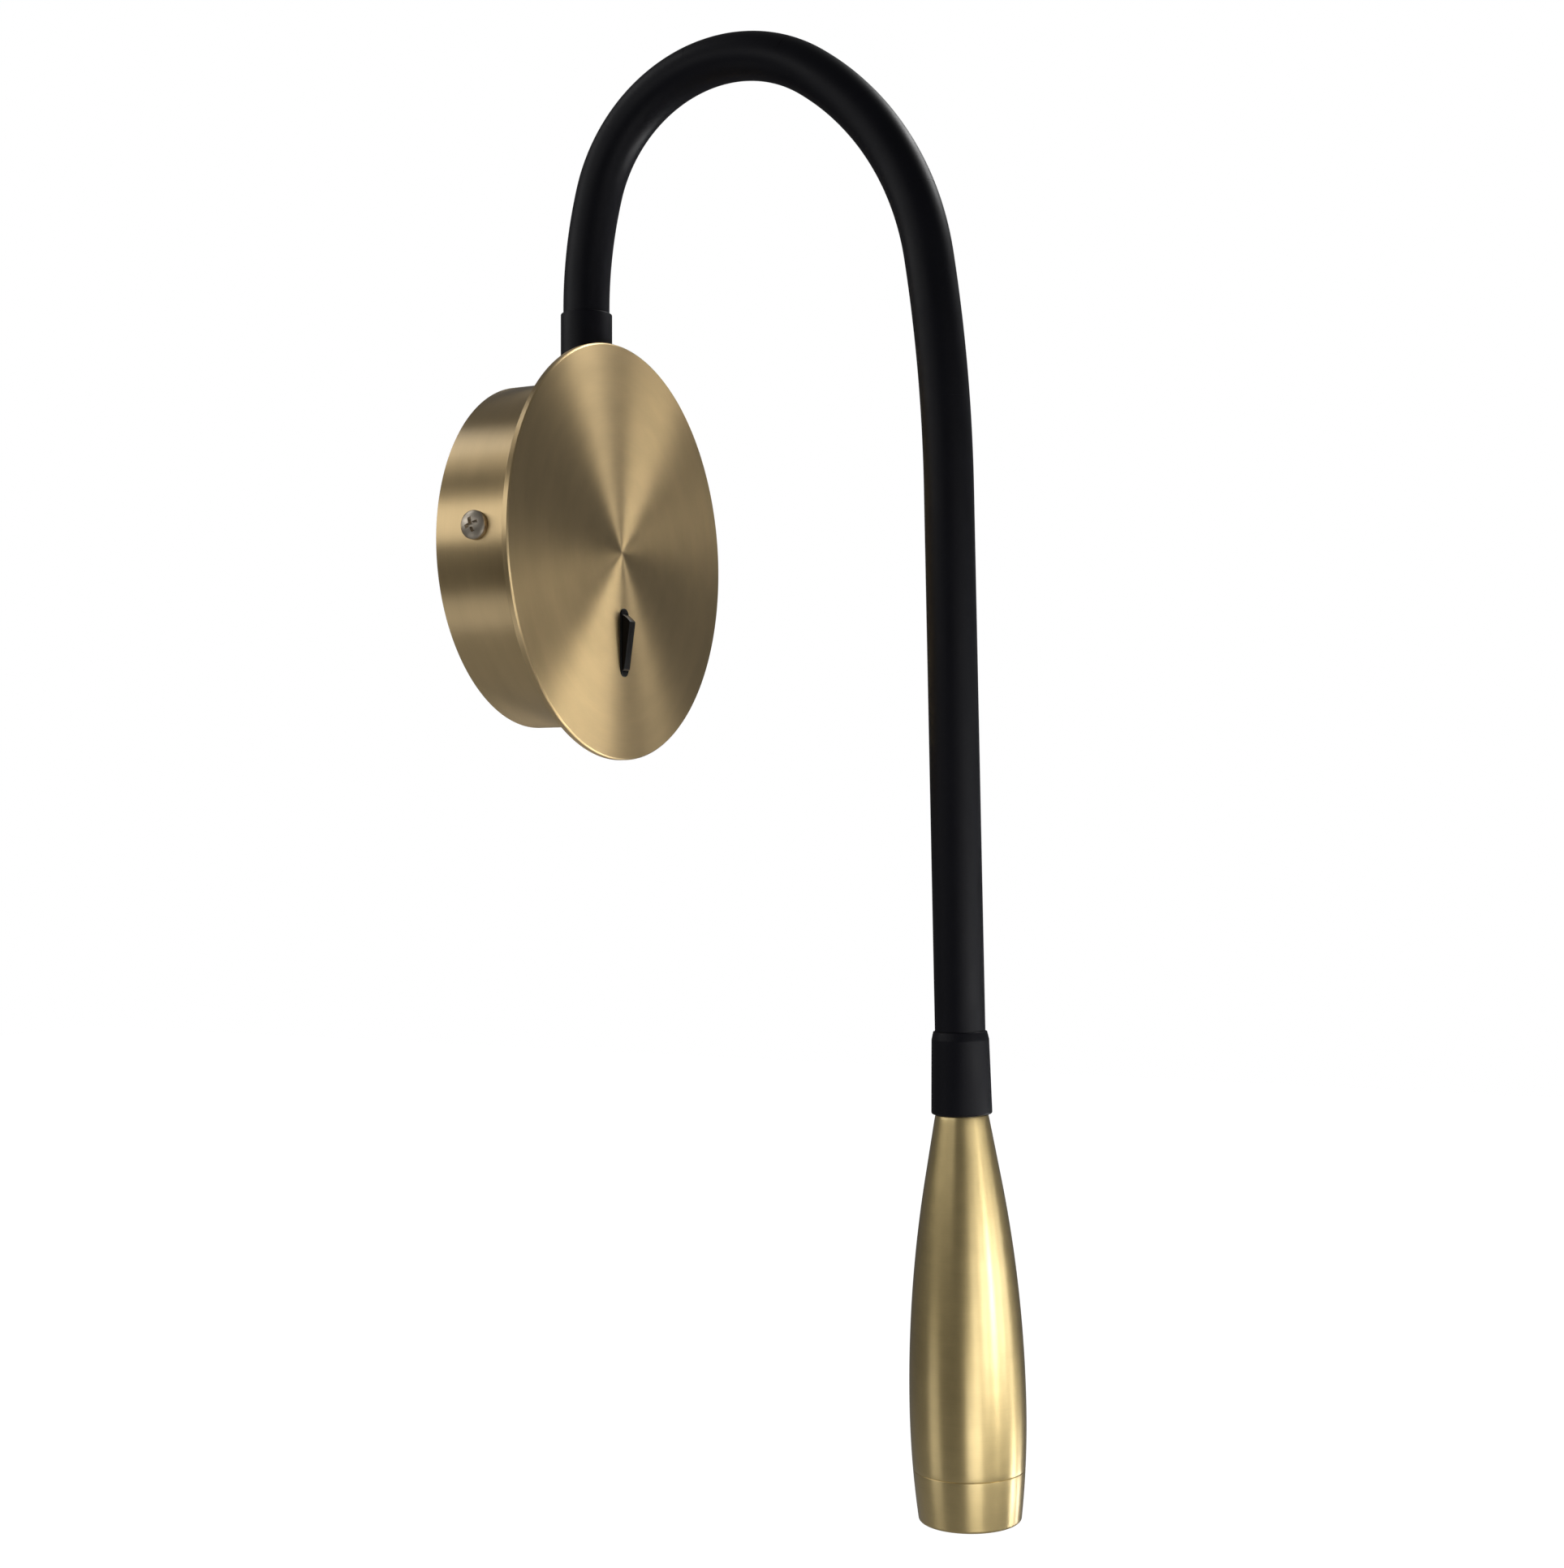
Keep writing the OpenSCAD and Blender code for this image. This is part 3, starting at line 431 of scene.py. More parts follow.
def cutter(outline, matrix, low, high):
    """A block of a closed flat outline, drawn out along +Z of matrix from low to high."""
    bm = bmesh.new()
    floor = [bm.verts.new(matrix @ Vector((x, y, low)) * MM) for x, y in outline]
    roof = [bm.verts.new(matrix @ Vector((x, y, high)) * MM) for x, y in outline]
    bm.faces.new(floor[::-1])
    bm.faces.new(roof)
    for i in range(len(outline)):
        n = (i + 1) % len(outline)
        bm.faces.new([floor[i], floor[n], roof[n], roof[i]])
    bmesh.ops.recalc_face_normals(bm, faces=bm.faces)
    return to_object("cutter", bm)


def drop(*objects):
    """Removes objects and their meshes."""
    for obj in objects:
        mesh = obj.data
        bpy.data.objects.remove(obj)
        bpy.data.meshes.remove(mesh)


def baked(obj):
    """Replaces an object's mesh by the result of its modifiers, and removes these."""
    graph = bpy.context.evaluated_depsgraph_get()
    mesh = bpy.data.meshes.new_from_object(obj.evaluated_get(graph), depsgraph=graph)
    old = obj.data
    obj.modifiers.clear()
    obj.data = mesh
    bpy.data.meshes.remove(old)


def cut(obj, cutters, sharp):
    """Cuts the cutters from obj and removes them."""
    for item in cutters:
        modifier = obj.modifiers.new("fit", "BOOLEAN")
        modifier.operation = "DIFFERENCE"
        modifier.solver = "EXACT"
        modifier.object = item
    baked(obj)
    drop(*cutters)
    obj.data.set_sharp_from_angle(angle=math.radians(sharp))


def join(objects, name):
    """Joins meshes into the first one."""
    bm = bmesh.new()
    for obj in objects:
        bm.from_mesh(obj.data)
    first = objects[0]
    bm.to_mesh(first.data)
    bm.free()
    drop(*objects[1:])
    first.name = name
    return first


def place(obj, body, slot, *nodes):
    """Puts a finished piece on its body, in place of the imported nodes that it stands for."""
    if nodes:
        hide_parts(*nodes)
    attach(obj, body)


def softened(node_name, finish, body, slot, width, steps=2, sharp=35.0):
    """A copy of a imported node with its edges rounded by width, on its body in place of the node."""
    bm = bmesh.new()
    bm.from_mesh(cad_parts[node_name].data)
    for layer in list(bm.loops.layers.uv.values()):
        bm.loops.layers.uv.remove(layer)
    bmesh.ops.remove_doubles(bm, verts=bm.verts, dist=NODE_GAP)
    flat = math.radians(0.6)
    bmesh.ops.dissolve_limit(bm, angle_limit=flat, verts=bm.verts, edges=bm.edges, delimit={"NORMAL"})
    obj = finished(node_name + "_piece", bm, material_for(finish), sharp)
    modifier = obj.modifiers.new("edges", "BEVEL")
    modifier.width = width * MM
    modifier.segments = steps
    modifier.limit_method = "ANGLE"
    modifier.angle_limit = math.radians(sharp)
    baked(obj)
    smooth(obj.data, sharp)
    place(obj, body, slot, node_name)


# Shader nodes


def node(tree, kind, ins=None, **settings):
    """A new node with its settings, and a value or a link for each input named in ins."""
    made = tree.nodes.new(kind)
    for key, value in settings.items():
        setattr(made, key, value)
    for key, value in (ins or {}).items():
        if hasattr(value, "is_output"):
            tree.links.new(value, made.inputs[key])
        else:
            made.inputs[key].default_value = value
    return made


def math_node(tree, operation, a, b=0.0):
    """The result of a sum on one or two values."""
    return node(tree, "ShaderNodeMath", {0: a, 1: b}, operation=operation).outputs[0]


def vector_node(tree, operation, ins, output=0):
    """The result of a sum on vectors."""
    return node(tree, "ShaderNodeVectorMath", ins, operation=operation).outputs[output]


def noise(tree, vector, scale, detail, roughness, **more):
    """The value of a noise texture, in four dimensions where W is given."""
    ins = {"Vector": vector, "Scale": scale, "Detail": detail, "Roughness": roughness, **more}
    space = "4D" if "W" in more else "3D"
    return node(tree, "ShaderNodeTexNoise", ins, noise_dimensions=space).outputs["Fac"]


def spread(tree, value, low, high, to_low=0.0, to_high=1.0):
    """A value brought from the range low to high into the range to_low to to_high."""
    ins = {0: value, 1: low, 2: high, 3: to_low, 4: to_high}
    return node(tree, "ShaderNodeMapRange", ins).outputs[0]


def mix_color(tree, factor, a, b):
    """A colour between a and b, each of them a colour or a node's output."""
    made = node(tree, "ShaderNodeMix", {0: factor}, data_type="RGBA")
    for index, value in ((6, a), (7, b)):
        if hasattr(value, "is_output"):
            tree.links.new(value, made.inputs[index])
        else:
            made.inputs[index].default_value = (*value, 1.0)
    return made.outputs[2]


def bump(tree, shader, height, strength, distance=SKIN_DEPTH):
    """Turns the shader's normal by a height."""
    ins = {"Height": height, "Strength": strength, "Distance": distance}
    made = node(tree, "ShaderNodeBump", ins)
    tree.links.new(made.outputs[0], shader.inputs["Normal"])


def toned(color, times, plus=0.0):
    """A colour made lighter or darker."""
    return tuple(min(1.0, part * times + plus) for part in color)


# Shader groups


def group_tree(name, inputs, outputs):
    """A shader group that takes a vector and named numbers, and puts out named numbers."""
    tree = bpy.data.node_groups.new(name, "ShaderNodeTree")
    tree.interface.new_socket("Vector", in_out="INPUT", socket_type="NodeSocketVector")
    for label, value in inputs.items():
        socket = tree.interface.new_socket(label, in_out="INPUT", socket_type="NodeSocketFloat")
        socket.default_value = value
    for label in outputs:
        tree.interface.new_socket(label, in_out="OUTPUT", socket_type="NodeSocketFloat")
    source = tree.nodes.new("NodeGroupInput").outputs
    return tree, source, tree.nodes.new("NodeGroupOutput").inputs


def turned_grain():
    """Fine rings left by turning and brushing about the Z axis of the given vector."""
    numbers = {"Lines per metre": 4000.0, "Wander": 3.0}
    tree, source, out = group_tree("Turned grain", numbers, ("Lines", "Bands"))
    x, y, z = node(tree, "ShaderNodeSeparateXYZ", {0: source["Vector"]}).outputs
    flat = node(tree, "ShaderNodeCombineXYZ", {0: x, 1: y, 2: 0.0}).outputs[0]
    radius = vector_node(tree, "LENGTH", {0: flat}, "Value")
    ring = math_node(tree, "MULTIPLY", radius, source["Lines per metre"])
    level = math_node(tree, "MULTIPLY", z, source["Lines per metre"])
    way = vector_node(tree, "NORMALIZE", {0: flat})
    wander = vector_node(tree, "SCALE", {0: way, "Scale": source["Wander"]})
    wander_x, wander_y, _ = node(tree, "ShaderNodeSeparateXYZ", {0: wander}).outputs
    spot = node(tree, "ShaderNodeCombineXYZ", {0: wander_x, 1: wander_y, 2: ring}).outputs[0]
    slow = vector_node(tree, "MULTIPLY", {0: spot, 1: (1.0, 1.0, 0.03)})
    slow_level = math_node(tree, "MULTIPLY", level, 0.03)
    tree.links.new(noise(tree, spot, 1.0, 3.0, 0.6, W=level), out["Lines"])
    tree.links.new(noise(tree, slow, 1.0, 2.0, 0.5, W=slow_level), out["Bands"])
    return tree


def handling():
    """Soft smudges and fine dust on a handled surface."""
    numbers = {"Smudge scale": 30.0, "Dust scale": 900.0}
    tree, source, out = group_tree("Handling marks", numbers, ("Smudge", "Dust"))
    smudge = noise(tree, source["Vector"], source["Smudge scale"], 4.0, 0.55, Distortion=0.6)
    speck = noise(tree, source["Vector"], source["Dust scale"], 2.0, 0.7)
    tree.links.new(spread(tree, smudge, 0.35, 0.7), out["Smudge"])
    tree.links.new(spread(tree, speck, 0.62, 0.78), out["Dust"])
    return tree


def moulded():
    """The fine skin of a moulded or drawn surface, as a height, and its slow mottle."""
    numbers = {"Skin scale": 2500.0, "Mottle scale": 120.0}
    tree, source, out = group_tree("Moulded skin", numbers, ("Height", "Mottle"))
    skin = noise(tree, source["Vector"], source["Skin scale"], 3.0, 0.6)
    mottle = noise(tree, source["Vector"], source["Mottle scale"], 3.0, 0.5)
    tree.links.new(skin, out["Height"])
    tree.links.new(mottle, out["Mottle"])
    return tree


GROUPS = {}


def pattern(tree, maker, vector, numbers=None):
    """The outputs of a shader group, built once and placed in a material with its own numbers."""
    if maker not in GROUPS:
        GROUPS[maker] = maker()
    ins = {"Vector": vector, **(numbers or {})}
    return node(tree, "ShaderNodeGroup", ins, node_tree=GROUPS[maker]).outputs


def moulded_skin(tree, vector, skin, mottle):
    """The outputs of the moulded skin, at its own scales."""
    return pattern(tree, moulded, vector, {"Skin scale": skin, "Mottle scale": mottle})


# Materials


def shaded(name, color, roughness, metallic=0.0, **constants):
    """A new material with its Principled shader and its object coordinates."""
    material = bpy.data.materials.new(name)
    material.use_nodes = True
    tree = material.node_tree
    shader = tree.nodes["Principled BSDF"]
    shader.inputs["Base Color"].default_value = (*color, 1.0)
    shader.inputs["Roughness"].default_value = roughness
    shader.inputs["Metallic"].default_value = metallic
    for label, value in constants.items():
        shader.inputs[label.replace("_", " ")].default_value = value
    return material, tree, shader, tree.nodes.new("ShaderNodeTexCoord").outputs["Object"]


def smudged(tree, shader, rough, marks, share):
    """Roughness from rough and a share of the smudges."""
    more = math_node(tree, "MULTIPLY", marks["Smudge"], share)
    tree.links.new(math_node(tree, "ADD", rough, more), shader.inputs["Roughness"])


def brushed_brass(name, matrix, look, lines, rough_share=1.0, across=1.0, tint=(1, 1, 1)):
    """Brass turned or brushed about the Z axis of matrix (in mm), under a thin clear lacquer."""
    brass = tuple(part * share for part, share in zip(look.brass, tint))
    roughness = look.brass_roughness * rough_share
    coat = {"Coat_Weight": look.lacquer, "Coat_Roughness": COAT_ROUGHNESS, "Coat_IOR": COAT_IOR}
    brushing = look.brushing * across
    material, tree, shader, coords = shaded(name, brass, roughness, 1.0, Anisotropic=brushing, **coat)
    inverse = Matrix.LocRotScale(matrix.translation * MM, matrix.to_quaternion(), None).inverted()
    ins = {"Vector": coords, "Location": inverse.translation, "Rotation": inverse.to_euler()}
    local = node(tree, "ShaderNodeMapping", ins, vector_type="POINT").outputs[0]
    grain = pattern(tree, turned_grain, local, {"Lines per metre": lines, "Wander": 2.5})
    marks = pattern(tree, handling, coords)
    dark, light = (toned(brass, times) for times in BRASS_BANDS)
    tone = mix_color(tree, spread(tree, grain["Bands"], 0.3, 0.7), dark, light)
    depth = spread(tree, grain["Lines"], 0.25, 0.75, BRASS_LINE_SHARE, 0.0)
    lined = mix_color(tree, depth, tone, toned(brass, BRASS_LINE_TONE))
    tree.links.new(lined, shader.inputs["Base Color"])
    rough = spread(tree, grain["Lines"], 0.2, 0.8, roughness * 0.88, roughness * 1.12)
    smudged(tree, shader, rough, marks, BRASS_SMUDGE)
    bump(tree, shader, grain["Lines"], 0.12)
    along = node(tree, "ShaderNodeTangent", direction_type="UV_MAP", uv_map="turning")
    tree.links.new(along.outputs[0], shader.inputs["Tangent"])
    return material


def plain_metal(name, color, roughness, grain_scale):
    """Plated or bare metal on small parts, with a slightly uneven finish."""
    material, tree, shader, coords = shaded(name, color, roughness, 1.0)
    skin = moulded_skin(tree, coords, grain_scale, 350.0)
    tone = mix_color(tree, spread(tree, skin["Mottle"], 0.35, 0.65), toned(color, 0.82), color)
    tree.links.new(tone, shader.inputs["Base Color"])
    rough = spread(tree, skin["Mottle"], 0.3, 0.7, roughness * 1.25, roughness * 0.85)
    tree.links.new(rough, shader.inputs["Roughness"])
    bump(tree, shader, skin["Height"], 0.15, SKIN_DEPTH / 2)
    return material


def moulded_plastic(name, color, roughness, grain_scale, strength=0.2, dust=0.0, **constants):
    """Moulded plastic, rubber or silicone, with a fine skin and a little dust."""
    material, tree, shader, coords = shaded(name, color, roughness, **constants)
    skin = moulded_skin(tree, coords, grain_scale, 90.0)
    marks = pattern(tree, handling, coords)
    dark, light = toned(color, 0.88), toned(color, 1.08)
    tone = mix_color(tree, spread(tree, skin["Mottle"], 0.3, 0.7), dark, light)
    share = math_node(tree, "MULTIPLY", marks["Dust"], dust)
    dusty = mix_color(tree, share, tone, toned(color, 0.7, 0.12))
    tree.links.new(dusty, shader.inputs["Base Color"])
    rough = spread(tree, skin["Mottle"], 0.3, 0.7, roughness * 0.92, roughness * 1.08)
    smudged(tree, shader, rough, marks, -0.05)
    bump(tree, shader, skin["Height"], strength)
    return material


def striped_wire():
    """Green insulation with a yellow stripe, as on an earth wire."""
    material = moulded_plastic("earth_wire", EARTH_GREEN, 0.4, 3000.0)
    tree = material.node_tree
    coords = tree.nodes.new("ShaderNodeTexCoord").outputs["Object"]
    ins = {"Vector": coords, "Scale": 260.0, "Distortion": 0.5}
    wave = node(tree, "ShaderNodeTexWave", ins, bands_direction="DIAGONAL").outputs["Fac"]
    striped = mix_color(tree, spread(tree, wave, 0.52, 0.58), EARTH_GREEN, EARTH_YELLOW)
    tree.links.new(striped, tree.nodes["Principled BSDF"].inputs["Base Color"])
    return material


def chip_yellow():
    """The phosphor face of the light chip, with its fine grain."""
    material, tree, shader, coords = shaded("chip_yellow", (0.86, 0.72, 0.20), 0.45)
    skin = moulded_skin(tree, coords, 5000.0, 1500.0)
    share = spread(tree, skin["Mottle"], 0.3, 0.7)
    tone = mix_color(tree, share, (0.80, 0.62, 0.12), (0.92, 0.80, 0.30))
    tree.links.new(tone, shader.inputs["Base Color"])
    bump(tree, shader, skin["Height"], 0.3, 0.00003)
    return material


def clear_lens():
    """Clear acrylic with a very slightly uneven polish."""
    glass = {"Transmission_Weight": 1.0, "IOR": 1.49}
    material, tree, shader, coords = shaded("lens_clear", (0.97, 0.98, 0.98), 0.05, **glass)
    skin = moulded_skin(tree, coords, 900.0, 120.0)
    rough = spread(tree, skin["Mottle"], 0.3, 0.7, 0.03, 0.09)
    tree.links.new(rough, shader.inputs["Roughness"])
    bump(tree, shader, skin["Height"], 0.05)
    return material


def silicone(look):
    """The skin of the neck's sleeve and boots."""
    shine = {"Specular_IOR_Level": 0.22}
    return moulded_plastic("black_silicone", look.silicone, 0.5, 1800.0, 0.15, 0.02, **shine)


def switch_plastic(look):
    """The skin of the switch."""
    shine = {"Specular_IOR_Level": 0.3}
    return moulded_plastic("black_switch", look.switch_black, 0.33, 4200.0, 0.18, 0.02, **shine)


def head_brass(look):
    """The head's brass, turned about the head's own axis."""
    shares = (HEAD_ROUGHNESS_SHARE, HEAD_BRUSHING_SHARE, HEAD_TINT)
    return brushed_brass("head_brass", HEAD_FRAME, look, 5600.0, *shares)


MATERIALS = {}


def material_for(key):
    """A finish of the lamp, built once from the panel's colours."""
    look = bpy.context.scene.lamp_looks
    makers = {
        "disc brass": lambda: brushed_brass("disc_brass", WALL_FRAME, look, 5200.0),
        "cup brass": lambda: brushed_brass("cup_brass", WALL_FRAME, look, 4600.0),
        "head brass": lambda: head_brass(look),
        "silicone": lambda: silicone(look),
        "switch plastic": lambda: switch_plastic(look),
        "earth wire": striped_wire,
        "chip": chip_yellow,
        "lens": clear_lens,
    }
    if key not in MATERIALS:
        if key in METALS:
            MATERIALS[key] = plain_metal(*METALS[key])
        elif key in PLASTICS:
            MATERIALS[key] = moulded_plastic(*PLASTICS[key])
        else:
            MATERIALS[key] = makers[key]()
    return MATERIALS[key]


# Geometry node trees


def nodes_tree(name, inputs):
    """A geometry tree with inputs of (label, kind, default), and one for its material."""
    tree = bpy.data.node_groups.new(name, "GeometryNodeTree")
    tree.interface.new_socket("Geometry", in_out="INPUT", socket_type="NodeSocketGeometry")
    for label, kind, value in (*inputs, ("Material", "Material", None)):
        socket = tree.interface.new_socket(label, in_out="INPUT", socket_type="NodeSocket" + kind)
        if value is not None:
            socket.default_value = value
    tree.interface.new_socket("Geometry", in_out="OUTPUT", socket_type="NodeSocketGeometry")
    return tree, tree.nodes.new("NodeGroupInput").outputs


def ended(tree, source, geometry):
    """Ends a geometry tree with Realize Instances and Set Material."""
    real = node(tree, "GeometryNodeRealizeInstances", {0: geometry}).outputs[0]
    ins = {"Geometry": real, "Material": source["Material"]}
    named = node(tree, "GeometryNodeSetMaterial", ins).outputs[0]
    tree.links.new(named, tree.nodes.new("NodeGroupOutput").inputs[0])
    return tree


def tube_tree():
    """A tube or a filled rod along the edges of a path."""
    inputs = [("Radius", "Float", 0.005), ("Wall", "Float", 0.001)]
    inputs += [("Sides", "Int", 64), ("Filled", "Bool", False)]
    tree, source = nodes_tree("Tube along path", inputs)
    path = node(tree, "GeometryNodeMeshToCurve", {0: source["Geometry"]}).outputs[0]
    ins = {"Resolution": source["Sides"], "Radius": source["Radius"]}
    ring = node(tree, "GeometryNodeCurvePrimitiveCircle", ins, mode="RADIUS").outputs[0]
    skin = node(tree, "GeometryNodeCurveToMesh", {0: path, 1: ring}).outputs[0]
    rod = node(tree, "GeometryNodeCurveToMesh", {0: path, 1: ring, "Fill Caps": True}).outputs[0]
    inward = math_node(tree, "MULTIPLY", source["Wall"], -1.0)
    ins = {"Mesh": skin, "Offset Scale": inward, "Individual": False}
    grown = node(tree, "GeometryNodeExtrudeMesh", ins, mode="FACES").outputs[0]
    lining = node(tree, "GeometryNodeFlipFaces", {0: grown}).outputs[0]
    both = tree.nodes.new("GeometryNodeJoinGeometry")
    tree.links.new(lining, both.inputs[0])
    tree.links.new(skin, both.inputs[0])
    ins = {0: both.outputs[0], "Distance": TUBE_GAP}
    shell = node(tree, "GeometryNodeMergeByDistance", ins).outputs[0]
    ins = {"Switch": source["Filled"], "False": shell, "True": rod}
    chosen = node(tree, "GeometryNodeSwitch", ins, input_type="GEOMETRY").outputs[0]
    return ended(tree, source, chosen)


def fastener_tree():
    """The same fastener at each point, turned by the point's own angles and a random turn."""
    inputs = [("Fastener", "Object", None), ("Scale", "Float", 1.0)]
    inputs += [("Turn spread", "Float", 0.0), ("Seed", "Int", 7)]
    tree, source = nodes_tree("Fasteners at points", inputs)
    ins = {0: source["Fastener"]}
    info = node(tree, "GeometryNodeObjectInfo", ins, transform_space="ORIGINAL")
    ins = {"Name": "facing"}
    facing = node(tree, "GeometryNodeInputNamedAttribute", ins, data_type="FLOAT_VECTOR").outputs[0]
    ins = {"Min": 0.0, "Max": source["Turn spread"], "Seed": source["Seed"]}
    spin = node(tree, "FunctionNodeRandomValue", ins, data_type="FLOAT").outputs[1]
    turn = node(tree, "ShaderNodeCombineXYZ", {2: spin}).outputs[0]
    ins = {"Rotation": facing, "Rotate By": turn}
    whole = node(tree, "FunctionNodeRotateEuler", ins, rotation_type="EULER", space="LOCAL").outputs[0]
    ins = {"Points": source["Geometry"], "Instance": info.outputs["Geometry"]}
    ins.update({"Rotation": whole, "Scale": source["Scale"]})
    return ended(tree, source, node(tree, "GeometryNodeInstanceOnPoints", ins).outputs[0])


TREES = {}


def grow(obj, maker, inputs, sharp):
    """Runs a geometry tree on an object with named inputs, and keeps the result as its mesh."""
    if maker not in TREES:
        TREES[maker] = maker()
    modifier = obj.modifiers.new("grow", "NODES")
    modifier.node_group = TREES[maker]
    for item in modifier.node_group.interface.items_tree:
        if item.item_type == "SOCKET" and item.in_out == "INPUT" and item.name in inputs:
            modifier[item.identifier] = inputs[item.name]
    obj.update_tag()
    bpy.context.view_layer.update()
    baked(obj)
    bm = bmesh.new()
    bm.from_mesh(obj.data)
    bmesh.ops.recalc_face_normals(bm, faces=bm.faces)
    bm.to_mesh(obj.data)
    bm.free()
    smooth(obj.data, sharp)
    return obj


def points_object(name, points, edges=()):
    """An object of bare points, and edges where it is a path."""
    mesh = bpy.data.meshes.new(name)
    mesh.from_pydata([Vector(point) * MM for point in points], edges, [])
    return linked(name, mesh)


def tube(name, points, radius, finish, sides, wall=0.0):
    """A tube through points, or a filled rod if it has no wall."""
    inputs = {"Radius": radius * MM, "Wall": max(wall, 0.1) * MM, "Sides": sides, "Filled": wall <= 0}
    inputs["Material"] = material_for(finish)
    path = points_object(name, points, [(i, i + 1) for i in range(len(points) - 1)])
    return grow(path, tube_tree, inputs, 60.0)


def fasteners(node_name, master, places, finish, slot, turn_spread=0.0):
    """Copies of a master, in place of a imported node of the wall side, at pairs of a point and Euler
    angles in radians."""
    obj = points_object(node_name + "_piece", [point for point, _ in places])
    facing = obj.data.attributes.new("facing", "FLOAT_VECTOR", "POINT")
    for item, (_, angles) in zip(facing.data, places):
        item.vector = angles
    inputs = {"Fastener": master, "Turn spread": turn_spread, "Material": material_for(finish)}
    grow(obj, fastener_tree, inputs, 35.0)
    drop(master)
    place(obj, "wall_plate", slot, node_name)


# Screws and studs


def screw_head(thread_d, turn):
    """A domed head above the origin, with a cross recess."""
    height, crown = thread_d * 0.6, thread_d * 1.8
    side = crown - math.sqrt(crown**2 - thread_d**2)
    outline = [(0.0, 0.0), (thread_d - 0.12, 0.0), (thread_d, 0.12)]
    outline += [(thread_d, height - side - 0.1), (thread_d - 0.04, height - side)]
    for k in range(1, 10):
        radius = thread_d * (1 - k / 10) * 0.97
        outline.append((radius, height - crown + math.sqrt(crown**2 - radius**2)))
    outline.append((0.0, height))
    head = turned("screw_head", outline, Matrix.Rotation(turn, 4, "Z"), None, 64, 30.0)
    mouth = (height + 1.0, thread_d * 0.78, thread_d * 0.19)
    depth = (height - thread_d * 0.3, thread_d * 0.36, thread_d * 0.1)
    arms = []
    for quarter in (0.0, math.pi / 2):
        bm = bmesh.new()
        spots = []
        for level, reach, half in (mouth, depth):
            for x, y in ((reach, half), (reach, -half), (-reach, half), (-reach, -half)):
                spot = Matrix.Rotation(turn + quarter, 4, "Z") @ Vector((x, y, level))
                spots.append(bm.verts.new(spot * MM))
        bmesh.ops.convex_hull(bm, input=spots)
        bmesh.ops.recalc_face_normals(bm, faces=bm.faces)
        arms.append(to_object("recess", bm))
    cut(head, arms, 30.0)
    return head


def screw_shank(thread_d, length, rows_each=6, sides=40):
    """A threaded shank below the origin."""
    pitch = thread_d * 0.17
    rows = int(length / pitch * rows_each)
    bm = bmesh.new()
    grid = []
    for row in range(rows + 1):
        z = -length * row / rows
        line = []
        for k, (x, y) in enumerate(around(sides)):
            depth = abs((z / pitch - k / sides) % 1.0 - 0.5) * 2.0
            radius = thread_d / 2 - 0.05 - pitch * 0.55 * depth
            if row == rows:
                radius *= 0.8
            line.append(bm.verts.new(Vector((radius * x, radius * y, z)) * MM))
        grid.append(line)
    for low, high in zip(grid, grid[1:]):
        for k in range(sides):
            n = (k + 1) % sides
            bm.faces.new([low[k], high[k], high[n], low[n]])
    bm.faces.new(grid[0])
    bm.faces.new(grid[-1][::-1])
    bmesh.ops.recalc_face_normals(bm, faces=bm.faces)
    return to_object("screw_shank", bm)


def pan_screw(thread_d, length, turn=0.0):
    """A master screw along +Z."""
    return join([screw_head(thread_d, turn), screw_shank(thread_d, length)], "screw_master")


def stud(x, y, material):
    """A threaded stud behind the disc, with fine rings and chamfered ends."""
    low, high = CUP_DEPTH - STUD_LEN, CUP_DEPTH + 0.01
    outline = [(0.0, low), (STUD_R - 0.25, low), (STUD_R, low + 0.25)]
    z = low + 0.25
    while z + STUD_PITCH < high - 0.4:
        outline += [(STUD_R, z + STUD_PITCH * 0.2), (STUD_R - 0.22, z + STUD_PITCH * 0.6)]
        z += STUD_PITCH
    outline += [(STUD_R, z + 0.1), (STUD_R, high - 0.25), (STUD_R - 0.25, high), (0.0, high)]
    matrix = WALL_FRAME @ Matrix.Translation((x, y, 0.0))
    return turned("stud", outline, matrix, material, 32, 50.0)


# Panel values

COLOUR = {"subtype": "COLOR", "size": 3, "min": 0.0, "max": 1.0}
FACTOR = {"subtype": "FACTOR", "min": 0.0, "max": 1.0}


class LampLooks(bpy.types.PropertyGroup):
    """Colours and finishes of the lamp."""

    brass: bpy.props.FloatVectorProperty(
        name="Brass", description="Colour of the lacquered brass", default=(0.84, 0.62, 0.315), **COLOUR
    )
    brass_roughness: bpy.props.FloatProperty(
        name="Brass roughness",
        description="How far the brushing spreads the highlights",
        subtype="FACTOR",
        min=0.05,
        max=0.8,
        default=0.37,
    )
    brushing: bpy.props.FloatProperty(
        name="Brushing",
        description="How much more the highlights spread across the brushing than along it",
        default=0.86,
        **FACTOR,
    )
    lacquer: bpy.props.FloatProperty(
        name="Lacquer",
        description="How strongly the clear lacquer on the brass shines",
        default=0.8,
        **FACTOR,
    )
    silicone: bpy.props.FloatVectorProperty(
        name="Sleeve",
        description="Colour of the neck's sleeve and boots",
        default=(0.0028, 0.0028, 0.0062),
        **COLOUR,
    )
    switch_black: bpy.props.FloatVectorProperty(
        name="Switch", description="Colour of the switch", default=(0.0034, 0.0026, 0.0022), **COLOUR
    )


